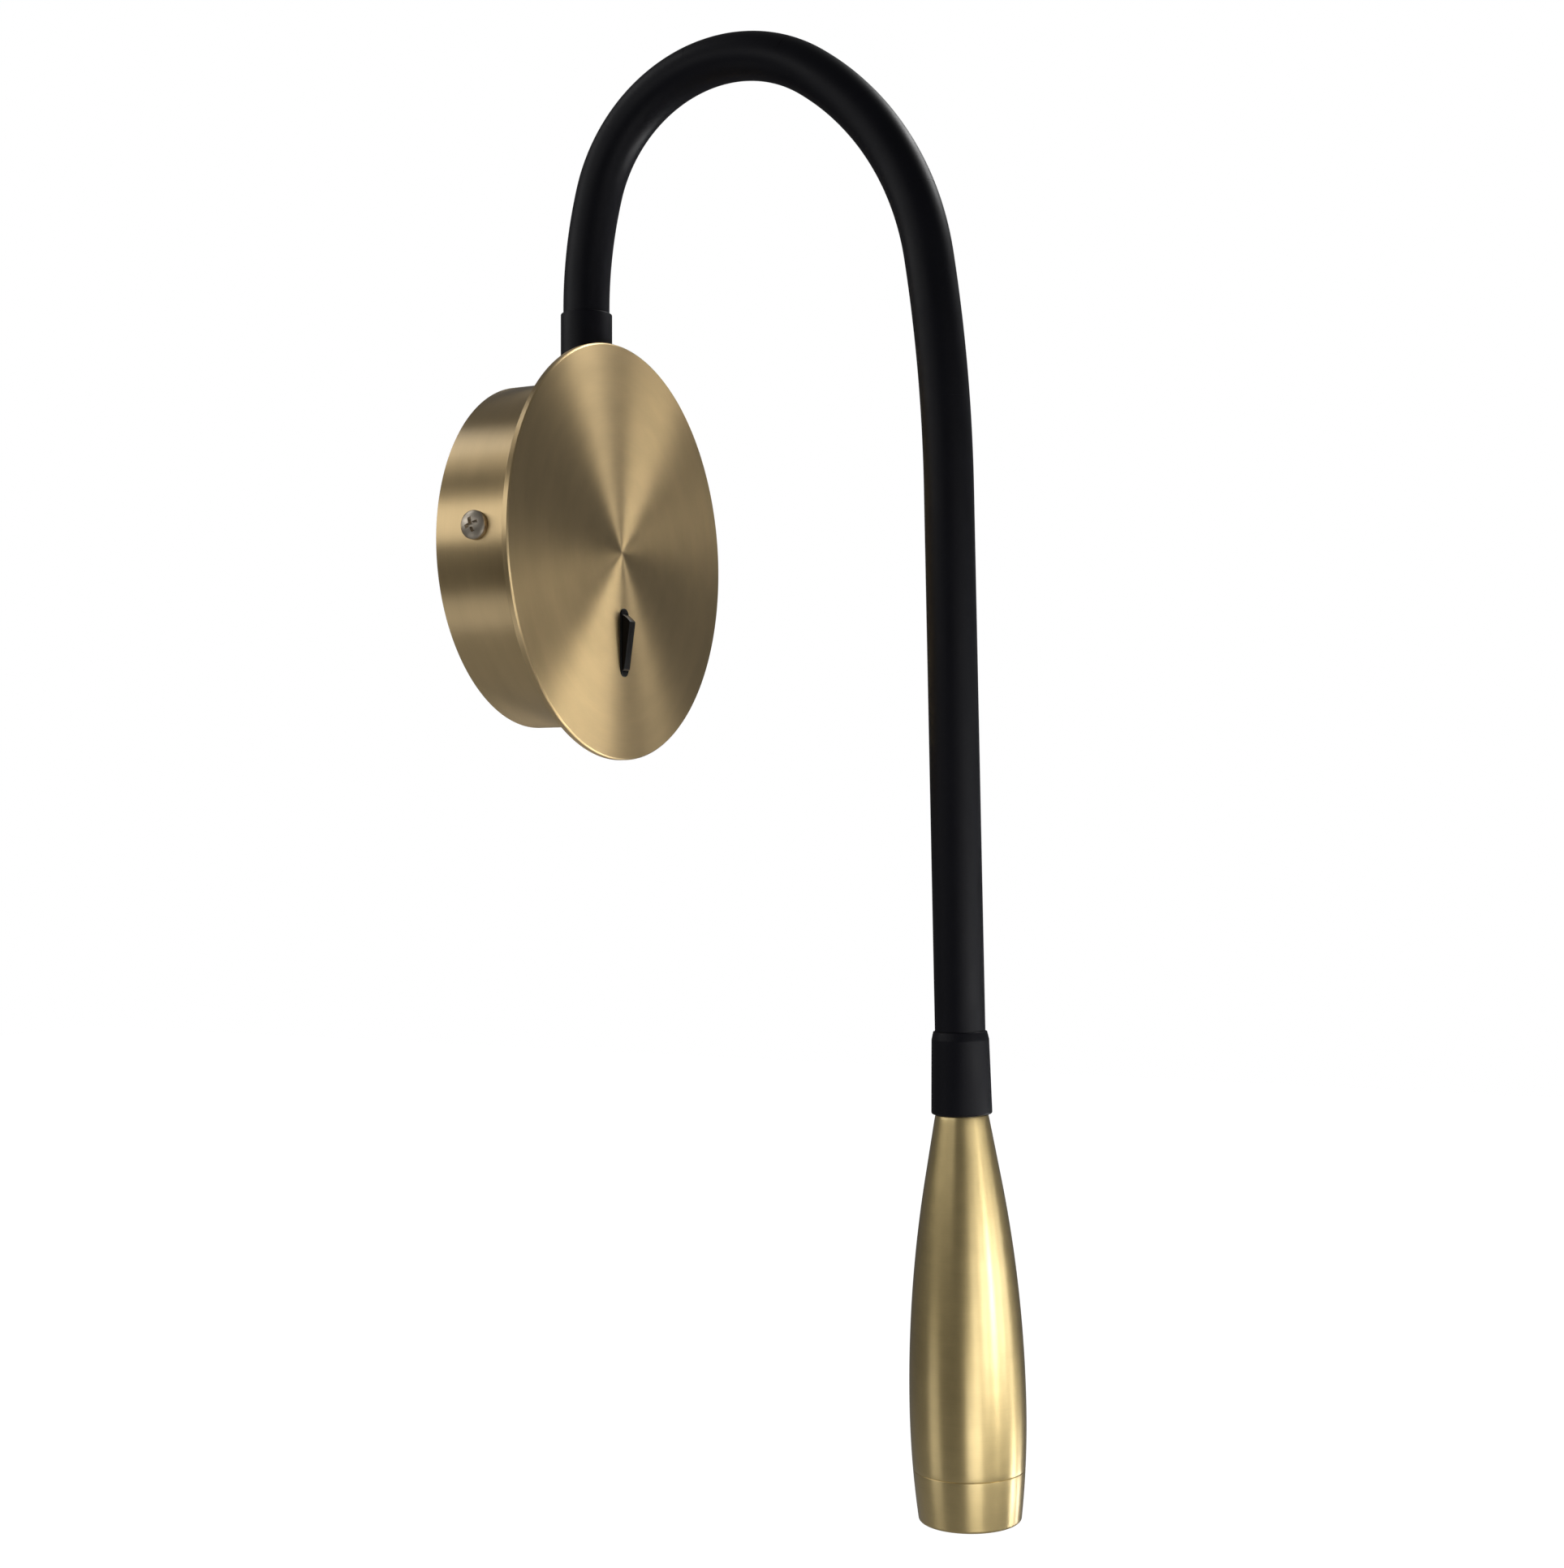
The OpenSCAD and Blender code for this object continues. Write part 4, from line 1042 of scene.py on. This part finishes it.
class LampSizes(bpy.types.PropertyGroup):
    """Sizes of the finished surfaces, in millimetres."""

    sleeve_d: bpy.props.FloatProperty(
        name="Sleeve",
        description="Outer diameter of the neck's sleeve in mm",
        min=12.0,
        max=14.0,
        default=13.5,
    )
    sleeve_wall: bpy.props.FloatProperty(
        name="Sleeve wall", description="Wall of the neck's sleeve in mm", min=0.5, max=2.0, default=1.45
    )
    lead_d: bpy.props.FloatProperty(
        name="Lead",
        description="Diameter of the lead through the neck in mm",
        min=2.0,
        max=3.2,
        default=3.0,
    )
    disc_r: bpy.props.FloatProperty(
        name="Disc radius", description="Radius of the front disc in mm", min=55.0, max=60.0, default=60.0
    )
    disc_bevel: bpy.props.FloatProperty(
        name="Disc bevel", description="Bright bevel round the disc in mm", min=0.1, max=0.6, default=0.4
    )
    switch_edge: bpy.props.FloatProperty(
        name="Switch edge",
        description="Rounding of the switch's edges in mm",
        min=0.05,
        max=0.5,
        default=0.3,
    )


# Operators


class LAMP_OT_front_disc(bpy.types.Operator):
    """Builds the brushed front disc with its bevel, its studs and the slot for the switch"""

    bl_idname = "lamp.front_disc"
    bl_label = "Front disc"

    def execute(self, context):
        sizes = context.scene.lamp_sizes
        brass = material_for("disc brass")
        radius, bevel = sizes.disc_r, sizes.disc_bevel
        back, front = CUP_DEPTH, CUP_DEPTH + DISC_T
        outline = [(0.0, back), (radius * 0.5, back), (radius - 0.2, back), (radius, back + 0.2)]
        outline += [(radius, front - bevel), (radius - bevel * 0.1, front - bevel * 0.85)]
        outline += [(radius - bevel * 0.85, front - bevel * 0.1), (radius - bevel, front)]
        outline += [(radius * share, front) for share in DISC_RINGS]
        disc = turned("front_disc_piece", outline, WALL_FRAME, brass, 256, 25.0)
        cut(disc, [cutter(switch_slot(), WALL_FRAME, back - 2, front + 2)], 25.0)
        join([disc, *(stud(x, y, brass) for x, y in stud_places())], "front_disc_piece")
        place(disc, "wall_plate", "brass_finish", "front_disc")
        return {"FINISHED"}


class LAMP_OT_wall_cup(bpy.types.Operator):
    """Builds the wall cup with its rolled front corner and its holes"""

    bl_idname = "lamp.wall_cup"
    bl_label = "Wall cup"

    def execute(self, context):
        inner, floor = CUP_R - CUP_WALL, CUP_DEPTH - CUP_WALL
        outline = [(inner, 0.15), (inner + 0.15, 0.0), (CUP_R - 0.15, 0.0), (CUP_R, 0.15)]
        outline += [(CUP_R, z) for z in CUP_RINGS]
        outline += quarter_round(CUP_CORNER, CUP_R, CUP_DEPTH)
        outline += [(radius, CUP_DEPTH) for radius in (30.0, 10.0, 0.0)]
        outline += [(radius, floor) for radius in (0.0, 10.0, 30.0, inner - 0.3)]
        outline += [(inner, floor - 0.3), *((inner, z) for z in reversed(CUP_RINGS))]
        cup = turned("wall_cup_piece", outline, WALL_FRAME, material_for("cup brass"), 256, 25.0)
        front = (floor - 1, CUP_DEPTH + 1)
        cutters = [cutter(switch_slot(), WALL_FRAME, *front)]
        cutters += [cutter(circle(STUD_HOLE_R, spot, 32), WALL_FRAME, *front) for spot in stud_places()]
        for side in (-1, 1):
            ear = (SWITCH_X, SWITCH_Z + side * EAR_REACH)
            cutters.append(cutter(circle(EAR_HOLE_R, ear, 24), WALL_FRAME, *front))
        upward = Matrix.Translation((0.0, NECK_FOOT[1], 0.0))
        cutters.append(cutter(circle(NECK_HOLE_R, steps=64), upward, 40.0, 55.0))
        across = Matrix.Translation((0.0, SIDE_SCREW_Y, BRACKET_Z)) @ Matrix.Rotation(math.pi / 2, 4, "Y")
        for low, high in ((-55.0, -40.0), (40.0, 55.0)):
            cutters.append(cutter(circle(SIDE_HOLE_R), across, low, high))
        cut(cup, cutters, 25.0)
        place(cup, "wall_plate", "brass_finish", "wall_cup")
        return {"FINISHED"}


class LAMP_OT_switch(bpy.types.Operator):
    """Builds the switch's housing and rocker with rounded edges, its tabs and screws"""

    bl_idname = "lamp.switch"
    bl_label = "Switch"

    def execute(self, context):
        edge = context.scene.lamp_sizes.switch_edge
        softened("switch_housing", "switch plastic", "wall_plate", "black_plastic", edge * 0.5)
        softened("switch_rocker", "switch plastic", "rocker", "black_plastic", edge, 3)
        softened("switch_tabs", "plain brass", "wall_plate", "plain_brass", 0.12)
        to_back = (math.radians(-90.0), 0.0, 0.0)
        places = [((SWITCH_X, -EAR_FACE, SWITCH_Z + side * EAR_REACH), to_back) for side in (-1, 1)]
        fasteners("switch_screws", pan_screw(2.5, 3.5), places, "zinc", "zinc_steel", 1.3)
        return {"FINISHED"}


class LAMP_OT_wall_hardware(bpy.types.Operator):
    """Builds the bracket and the screws and nuts that hold the cup and the disc"""

    bl_idname = "lamp.wall_hardware"
    bl_label = "Wall hardware"

    def execute(self, context):
        softened("wall_bracket", "zinc", "wall_plate", "zinc_steel", 0.25)
        places = []
        for side in (-1, 1):
            outwards = (0.0, math.radians(side * 90.0), 0.0)
            places.append(((side * CUP_R, SIDE_SCREW_Y, BRACKET_Z), outwards))
        screw = pan_screw(4.0, 9.0, math.radians(18.0))
        fasteners("cup_side_screws", screw, places, "nickel", "nickel_screw")
        places = [(EARTH_SCREW, (math.radians(90.0), 0.0, 0.0))]
        screw = pan_screw(4.0, 2.6, 0.4)
        fasteners("bracket_earth_screw", screw, places, "plain brass", "plain_brass")
        softened("disc_stud_nuts", "zinc", "wall_plate", "zinc_steel", 0.2)
        return {"FINISHED"}


class LAMP_OT_wiring(bpy.types.Operator):
    """Builds the driver, the terminal block and the leads inside the cup"""

    bl_idname = "lamp.wiring"
    bl_label = "Driver and wiring"

    def execute(self, context):
        softened("led_driver", "white plastic", "wall_plate", "white_plastic", 0.8, 3)
        softened("driver_tape", "tape", "wall_plate", "foam_tape", 0.15)
        softened("terminal_block", "white plastic", "wall_plate", "white_plastic", 0.3)
        softened("terminal_screws", "zinc", "wall_plate", "zinc_steel", 0.12)
        for name, finish, y, route in DRIVER_LEADS:
            line = bent_route([(x, y, z) for x, z in route], DRIVER_LEAD_BEND)
            lead = tube(name, line, DRIVER_LEAD_R, finish, 24)
            place(lead, "wall_plate", "wire_insulation", "driver_leads")
        softened("switch_leads", "brown wire", "wall_plate", "wire_insulation", 0.1, sharp=50.0)
        softened("earth_lead", "earth wire", "wall_plate", "earth_insulation", 0.1, sharp=50.0)
        return {"FINISHED"}


class LAMP_OT_neck_fixing(bpy.types.Operator):
    """Builds the nipple, washers and nut that hold the neck in the cup"""

    bl_idname = "lamp.neck_fixing"
    bl_label = "Neck fixing"

    def execute(self, context):
        softened("neck_nipple", "zinc", "wall_plate", "zinc_steel", 0.15)
        softened("neck_saddle_washer", "zinc", "wall_plate", "zinc_steel", 0.15)
        softened("neck_lock_washer", "zinc", "wall_plate", "zinc_steel", 0.12)
        softened("neck_nut", "plain brass", "wall_plate", "plain_brass", 0.3)
        return {"FINISHED"}


class LAMP_OT_neck(bpy.types.Operator):
    """Builds the gooseneck's sleeve and the lead in it, a length for each joint"""

    bl_idname = "lamp.neck"
    bl_label = "Gooseneck"

    def execute(self, context):
        sizes = context.scene.lamp_sizes
        middles = [(joint_at(i) + joint_at(i + 1)) / 2 for i in range(1, SECTIONS - 1)]
        cuts = [SLEEVE_INSET, *middles, NECK_LEN - SLEEVE_INSET]
        for i in range(1, SECTIONS):
            low, high = cuts[i - 1], cuts[i]
            start, end = joint_at(i) - BEND_REACH, joint_at(i) + BEND_REACH
            line = [point_at(s) for s in steps_between(low, high, 1.0)]
            sleeve = tube(
                f"neck_sleeve_{i:02d}", line, sizes.sleeve_d / 2, "silicone", 64, sizes.sleeve_wall
            )
            line = [point_at(s) for s in steps_between(low, high, 2.0)]
            if i == 1:
                line = bent_route([(x, NECK_FOOT[1], z) for x, z in LEAD_FOOT], LEAD_BEND) + line
            if i == SECTIONS - 1:
                into_head = steps_between(high + 2.0, NECK_LEN + LEAD_INTO_HEAD, 4.0)
                line += [point_at(s) for s in into_head]
            lead = tube(f"lamp_lead_{i:02d}", line, sizes.lead_d / 2, "jacket", 24)
            for piece, node_name, slot in (
                (sleeve, "neck_sleeve", "black_silicone"),
                (lead, "lamp_lead", "lead_jacket"),
            ):
                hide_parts(node_name)
                point_at(start) * MM
                point_at(end) * MM
                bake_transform(piece)
        for i in range(1, SECTIONS + 1):
            repaint(f"neck_section_{i:02d}", material_for("neck steel"))
        return {"FINISHED"}


def repaint(node_name, material):
    """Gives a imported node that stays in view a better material."""
    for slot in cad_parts[node_name].material_slots:
        slot.material = material


class LAMP_OT_boots(bpy.types.Operator):
    """Builds the boots at the neck's foot and at the head"""

    bl_idname = "lamp.boots"
    bl_label = "Boots"

    def execute(self, context):
        rubber = material_for("silicone")
        inner = context.scene.lamp_sizes.sleeve_d / 2 + 0.1
        outline = [(inner, -0.5), (BASE_BOOT_R, -0.5), (BASE_BOOT_R, 10.0)]
        outline += [(BASE_BOOT_R, BASE_BOOT_LEN, 0.3), (inner, BASE_BOOT_LEN, 0.15), (inner, 10.0)]
        base = turned("base_boot_piece", rounded(outline), neck_frame(0.0), rubber, 96)
        seat = (CUP_R + 0.2) * MM
        for vertex in base.data.vertices:
            if vertex.co.z < CUP_R * MM:
                vertex.co.z = math.sqrt(seat**2 - vertex.co.x**2)
        place(base, "wall_plate", "black_silicone", "base_boot")
        foot_r, bead_r, middle_r, end_r = HEAD_BOOT_R
        outline = [(inner, 0.0, 0.1), (foot_r, 0.0, 0.2), (bead_r, 2.2, 0.6), (middle_r, 12.0)]
        outline += [(end_r, HEAD_BOOT_LEN, 0.8), (inner, HEAD_BOOT_LEN, 0.2), (inner, 11.0)]
        matrix = neck_frame(NECK_LEN - HEAD_BOOT_LEN - 0.2)
        head = turned("head_boot_piece", rounded(outline, 6), matrix, rubber, 96)
        place(head, "head", "black_silicone", "head_boot")
        return {"FINISHED"}


class LAMP_OT_head(bpy.types.Operator):
    """Builds the tapered head, its front ring with the seam between them, and the ferrule"""

    bl_idname = "lamp.head"
    bl_label = "Head"

    def execute(self, context):
        brass = material_for("head brass")
        seam_r, top_r = head_outline_r(RING_AT), head_outline_r(0.0)
        seam = (seam_r - SEAM_DEPTH, RING_AT)
        outline = [(HEAD_BORE_R, 0.0), (top_r - 0.25, 0.0), (top_r - 0.05, 0.08), (top_r + 0.02, 0.3)]
        outline += [(head_outline_r(z), z) for z in steps_between(1.0, RING_AT - 0.35, 1.2)]
        outline += [(seam_r - 0.02, RING_AT - 0.12), seam, (RIM_R, RING_AT)]
        outline += [(RIM_R, RIM_AT - 0.2), (RIM_R - 0.2, RIM_AT), (FRONT_BORE_R, RIM_AT)]
        outline.append((FRONT_BORE_R, SINK_SEAT_AT))
        inside = steps_between(SINK_SEAT_AT, HEAD_TOP_T, 4.0)
        outline += [(head_outline_r(z) - HEAD_SHELL, z) for z in inside]
        outline.append((HEAD_BORE_R, HEAD_TOP_T))
        body = turned("head_body_piece", outline, HEAD_FRAME, brass, 160, 30.0)
        place(body, "head", "brass_finish", "head_body")
        outline = [(RING_BORE_R, RING_AT), seam, (seam_r - 0.02, RING_AT + 0.12)]
        outer = steps_between(RING_AT + 0.35, HEAD_LEN - RING_EDGE, 1.0)
        outline += [(head_outline_r(z), z) for z in outer]
        outline += quarter_round(RING_EDGE, head_outline_r(HEAD_LEN - RING_EDGE), HEAD_LEN, 1)
        outline += [(RING_HOLE_R + 0.3, HEAD_LEN), (RING_HOLE_R + 0.07, HEAD_LEN - 0.08)]
        outline += [(RING_HOLE_R, HEAD_LEN - 0.3), (RING_HOLE_R, RING_LIP_AT), (FRONT_BORE_R, RING_LIP_AT)]
        outline += [(FRONT_BORE_R, RIM_AT + 0.05), (RING_BORE_R, RIM_AT + 0.05)]
        ring = turned("front_ring_piece", outline, HEAD_FRAME, brass, 160, 30.0)
        place(ring, "head", "brass_finish", "front_ring")
        softened("head_ferrule", "zinc", "head", "zinc_steel", 0.15)
        return {"FINISHED"}


class LAMP_OT_light_source(bpy.types.Operator):
    """Builds the heat sink, the board and its chip, the lens and its holder"""

    bl_idname = "lamp.light_source"
    bl_label = "Light source"

    def execute(self, context):
        softened("heat_sink", "aluminium", "head", "sink_aluminium", 0.15)
        softened("led_board", "board", "head", "board_white", 0.08)
        softened("led_chip", "chip", "head", "chip_yellow", 0.1)
        face, rim = LENS_FACE_AT, LENS_RIM_AT
        outline = [(10.2, HOLDER_AT), (12.45, HOLDER_AT), (12.45, face - 0.2), (12.25, face), (11.2, face)]
        outline += [(11.05, face - 0.15), (11.05, rim), (HOLDER_R, rim)]
        for z in steps_between(100.0, 88.0, 2.0):
            outline += [(HOLDER_R, z + 0.3), (HOLDER_R - 0.15, z), (HOLDER_R, z - 0.3)]
        outline += [(HOLDER_R, HOLDER_AT + 2.6), (10.2, HOLDER_AT + 2.6)]
        holder = turned("lens_holder_piece", outline, HEAD_FRAME, material_for("holder"), 128, 30.0)
        place(holder, "head", "black_holder", "lens_holder")
        foot = LENS_FOOT_AT
        outline = [(0.0, foot - 0.2), (3.6, foot - 0.2), (4.0, foot)]
        outline += [(4.0 + 6.1 * (z - foot) / (rim - foot), z) for z in steps_between(90.0, rim, 3.0)]
        outline += [(11.0, rim), (11.0, face - 0.2), (10.8, face)]
        outline += [(radius, face) for radius in (8.0, 4.0, 1.0, 0.0)]
        lens = turned("lens_piece", outline, HEAD_FRAME, material_for("lens"), 128, 30.0)
        place(lens, "head", "lens_clear", "lens")
        return {"FINISHED"}


class LAMP_OT_stage(bpy.types.Operator):
    """Sets the camera, the pale floor and the soft studio light"""

    bl_idname = "lamp.stage"
    bl_label = "Stage"

    def execute(self, context):
        scene = context.scene
        set_camera(scene)
        set_world(scene)
        set_floor()
        for light in LIGHTS:
            area_light(*light)
        scene.view_settings.view_transform = "Standard"
        return {"FINISHED"}


# Stage

# Lamps: name, what they are aimed at, direction, distance, width and height in metres, power in
# watts, and the beam in degrees; a narrow beam is a grid in front of the lamp
LIGHTS = (
    ("softbox", "lamp", (-0.30, -0.95, -0.08), 1.1, (1.25, 0.60), 1.1, 180.0),
    ("upper_right", "lamp", (0.62, -0.30, 0.72), 1.1, (0.40, 0.30), 3.8, 180.0),
    ("low_left", "lamp", (-0.70, -0.54, -0.46), 0.9, (0.40, 0.24), 0.6, 180.0),
    ("left", "lamp", (-0.86, 0.42, 0.32), 1.1, (0.80, 0.40), 0.85, 180.0),
    ("left_back", "lamp", (-0.40, 0.86, 0.32), 1.1, (0.70, 0.40), 1.2, 180.0),
    ("behind_top", "lamp", (-0.18, 0.67, 0.72), 1.1, (0.40, 0.40), 0.8, 180.0),
    ("behind_lower", "lamp", (-0.62, 0.62, -0.47), 0.9, (0.34, 0.30), 0.2, 180.0),
    ("disc_right", "disc", (0.50, -0.72, -0.48), 0.9, (0.28, 0.24), 0.08, 24.0),
    ("disc_front", "disc", (0.72, -0.50, -0.48), 0.9, (0.28, 0.24), 0.065, 24.0),
    ("head_1", "head", (-0.77, -0.64, -0.05), 1.1, (0.38, 0.36), 0.014, 22.0),
    ("head_2", "head", (-0.50, -0.87, -0.05), 1.1, (0.38, 0.36), 0.028, 22.0),
    ("head_3", "head", (-0.17, -0.98, -0.05), 1.1, (0.38, 0.36), 0.029, 22.0),
    ("head_4", "head", (0.17, -0.98, -0.05), 1.1, (0.38, 0.36), 0.026, 22.0),
    ("head_5", "head", (0.45, -0.89, -0.05), 1.1, (0.34, 0.36), 0.015, 22.0),
    ("head_spot", "head", (-0.20, -0.98, 0.02), 1.1, (0.13, 0.13), 0.010, 22.0),
)
AIMS = {
    "lamp": Vector((0.0, -0.07, -0.06)),
    "disc": Vector((0.0, -0.03, 0.0)),
    "head": HEAD_FRAME @ Vector((0.0, 0.0, 60.0)) * MM,
}


def set_camera(scene):
    """The camera at the photograph's place and angle."""
    data = bpy.data.cameras.new("camera")
    scene.camera = linked("camera", data)
    right = Vector(CAMERA_RIGHT).normalized()
    forward = Vector(CAMERA_FORWARD).normalized()
    up = right.cross(forward)
    matrix = Matrix((right, up, -forward)).transposed().to_4x4()
    matrix.translation = CAMERA_AT
    scene.camera.matrix_world = matrix @ Matrix.Rotation(-CAMERA_ROLL, 4, "Z")
    data.sensor_width = 36.0
    data.lens = CAMERA_LENS
    data.shift_x, data.shift_y = CAMERA_SHIFT
    data.clip_start, data.clip_end = 0.01, 50.0


def in_view(tree):
    """1 for what the camera sees, straight or through the lens, and 0 for what lights the lamp."""
    rays = tree.nodes.new("ShaderNodeLightPath").outputs
    return math_node(tree, "MAXIMUM", rays["Is Camera Ray"], rays["Is Transmission Ray"])


def set_world(scene):
    """Dim light from all round, which the camera sees as white."""
    scene.world = bpy.data.worlds.new("studio")
    scene.world.use_nodes = True
    tree = scene.world.node_tree
    tree.nodes.clear()
    strength = spread(tree, in_view(tree), 0.0, 1.0, ROOM_LIGHT, 1.0)
    ins = {"Color": (1.0, 1.0, 1.0, 1.0), "Strength": strength}
    sky = node(tree, "ShaderNodeBackground", ins)
    tree.links.new(sky.outputs[0], tree.nodes.new("ShaderNodeOutputWorld").inputs[0])


def set_floor():
    """A pale floor under the lamp, which takes its shadow."""
    bm = bmesh.new()
    bmesh.ops.create_grid(bm, x_segments=1, y_segments=1, size=FLOOR_SIZE)
    bmesh.ops.translate(bm, verts=bm.verts, vec=(0.0, 0.0, CAD_BOX[0].z - FLOOR_DROP))
    floor = to_object("floor", bm)
    material = bpy.data.materials.new("pale_floor")
    material.use_nodes = True
    tree = material.node_tree
    tree.nodes.clear()
    share = math_node(tree, "MULTIPLY", in_view(tree), FLOOR_GLOW_SHARE)
    matt = node(tree, "ShaderNodeBsdfDiffuse", {"Color": (FLOOR_GREY, FLOOR_GREY, FLOOR_GREY, 1.0)})
    glow = node(tree, "ShaderNodeEmission", {"Color": (1.0, 1.0, 1.0, 1.0), "Strength": FLOOR_GLOW})
    mixed = node(tree, "ShaderNodeMixShader", {0: share, 1: matt.outputs[0], 2: glow.outputs[0]})
    tree.links.new(mixed.outputs[0], tree.nodes.new("ShaderNodeOutputMaterial").inputs[0])
    floor.data.materials.append(material)


def area_light(name, aim, direction, reach, size, power, beam):
    """A lamp at a distance in its direction from its target, turned to the target."""
    data = bpy.data.lights.new(name, "AREA")
    data.shape = "RECTANGLE"
    data.size, data.size_y = size
    data.energy = power
    data.spread = math.radians(beam)
    light = linked(name, data)
    light.visible_camera = False
    way = Vector(direction).normalized()
    light.location = AIMS[aim] + way * reach
    light.rotation_mode = "QUATERNION"
    light.rotation_quaternion = (-way).to_track_quat("-Z", "Y")


# Panel and running

OPERATORS = (
    LAMP_OT_stage,
    LAMP_OT_wall_cup,
    LAMP_OT_front_disc,
    LAMP_OT_switch,
    LAMP_OT_wall_hardware,
    LAMP_OT_wiring,
    LAMP_OT_neck_fixing,
    LAMP_OT_neck,
    LAMP_OT_boots,
    LAMP_OT_head,
    LAMP_OT_light_source,
)


class LAMP_PT_panel(bpy.types.Panel):
    """Lists the lamp's sizes, colours and pieces"""

    bl_idname = "LAMP_PT_panel"
    bl_label = "Reading wall lamp"
    bl_space_type = "VIEW_3D"
    bl_region_type = "UI"
    bl_category = "Wall lamp"

    def draw(self, context):
        layout = self.layout
        for values in (context.scene.lamp_looks, context.scene.lamp_sizes):
            box = layout.box()
            for label in values.bl_rna.properties.keys():
                if label not in {"rna_type", "name"}:
                    box.prop(values, label)
        for item in OPERATORS:
            layout.operator(item.bl_idname)


CLASSES = (LampLooks, LampSizes, *OPERATORS, LAMP_PT_panel)


def register():
    for item in CLASSES:
        bpy.utils.register_class(item)
    bpy.types.Scene.lamp_looks = bpy.props.PointerProperty(type=LampLooks)
    bpy.types.Scene.lamp_sizes = bpy.props.PointerProperty(type=LampSizes)


def unregister():
    del bpy.types.Scene.lamp_sizes
    del bpy.types.Scene.lamp_looks
    for item in reversed(CLASSES):
        bpy.utils.unregister_class(item)


def main():
    """Builds every piece in order."""
    register()
    bpy.ops.lamp.stage()
    bpy.ops.lamp.wall_cup()
    bpy.ops.lamp.front_disc()
    bpy.ops.lamp.switch()
    bpy.ops.lamp.wall_hardware()
    bpy.ops.lamp.wiring()
    bpy.ops.lamp.neck_fixing()
    bpy.ops.lamp.neck()
    bpy.ops.lamp.boots()
    bpy.ops.lamp.head()
    bpy.ops.lamp.light_source()


if __name__ == "__main__":
    main()
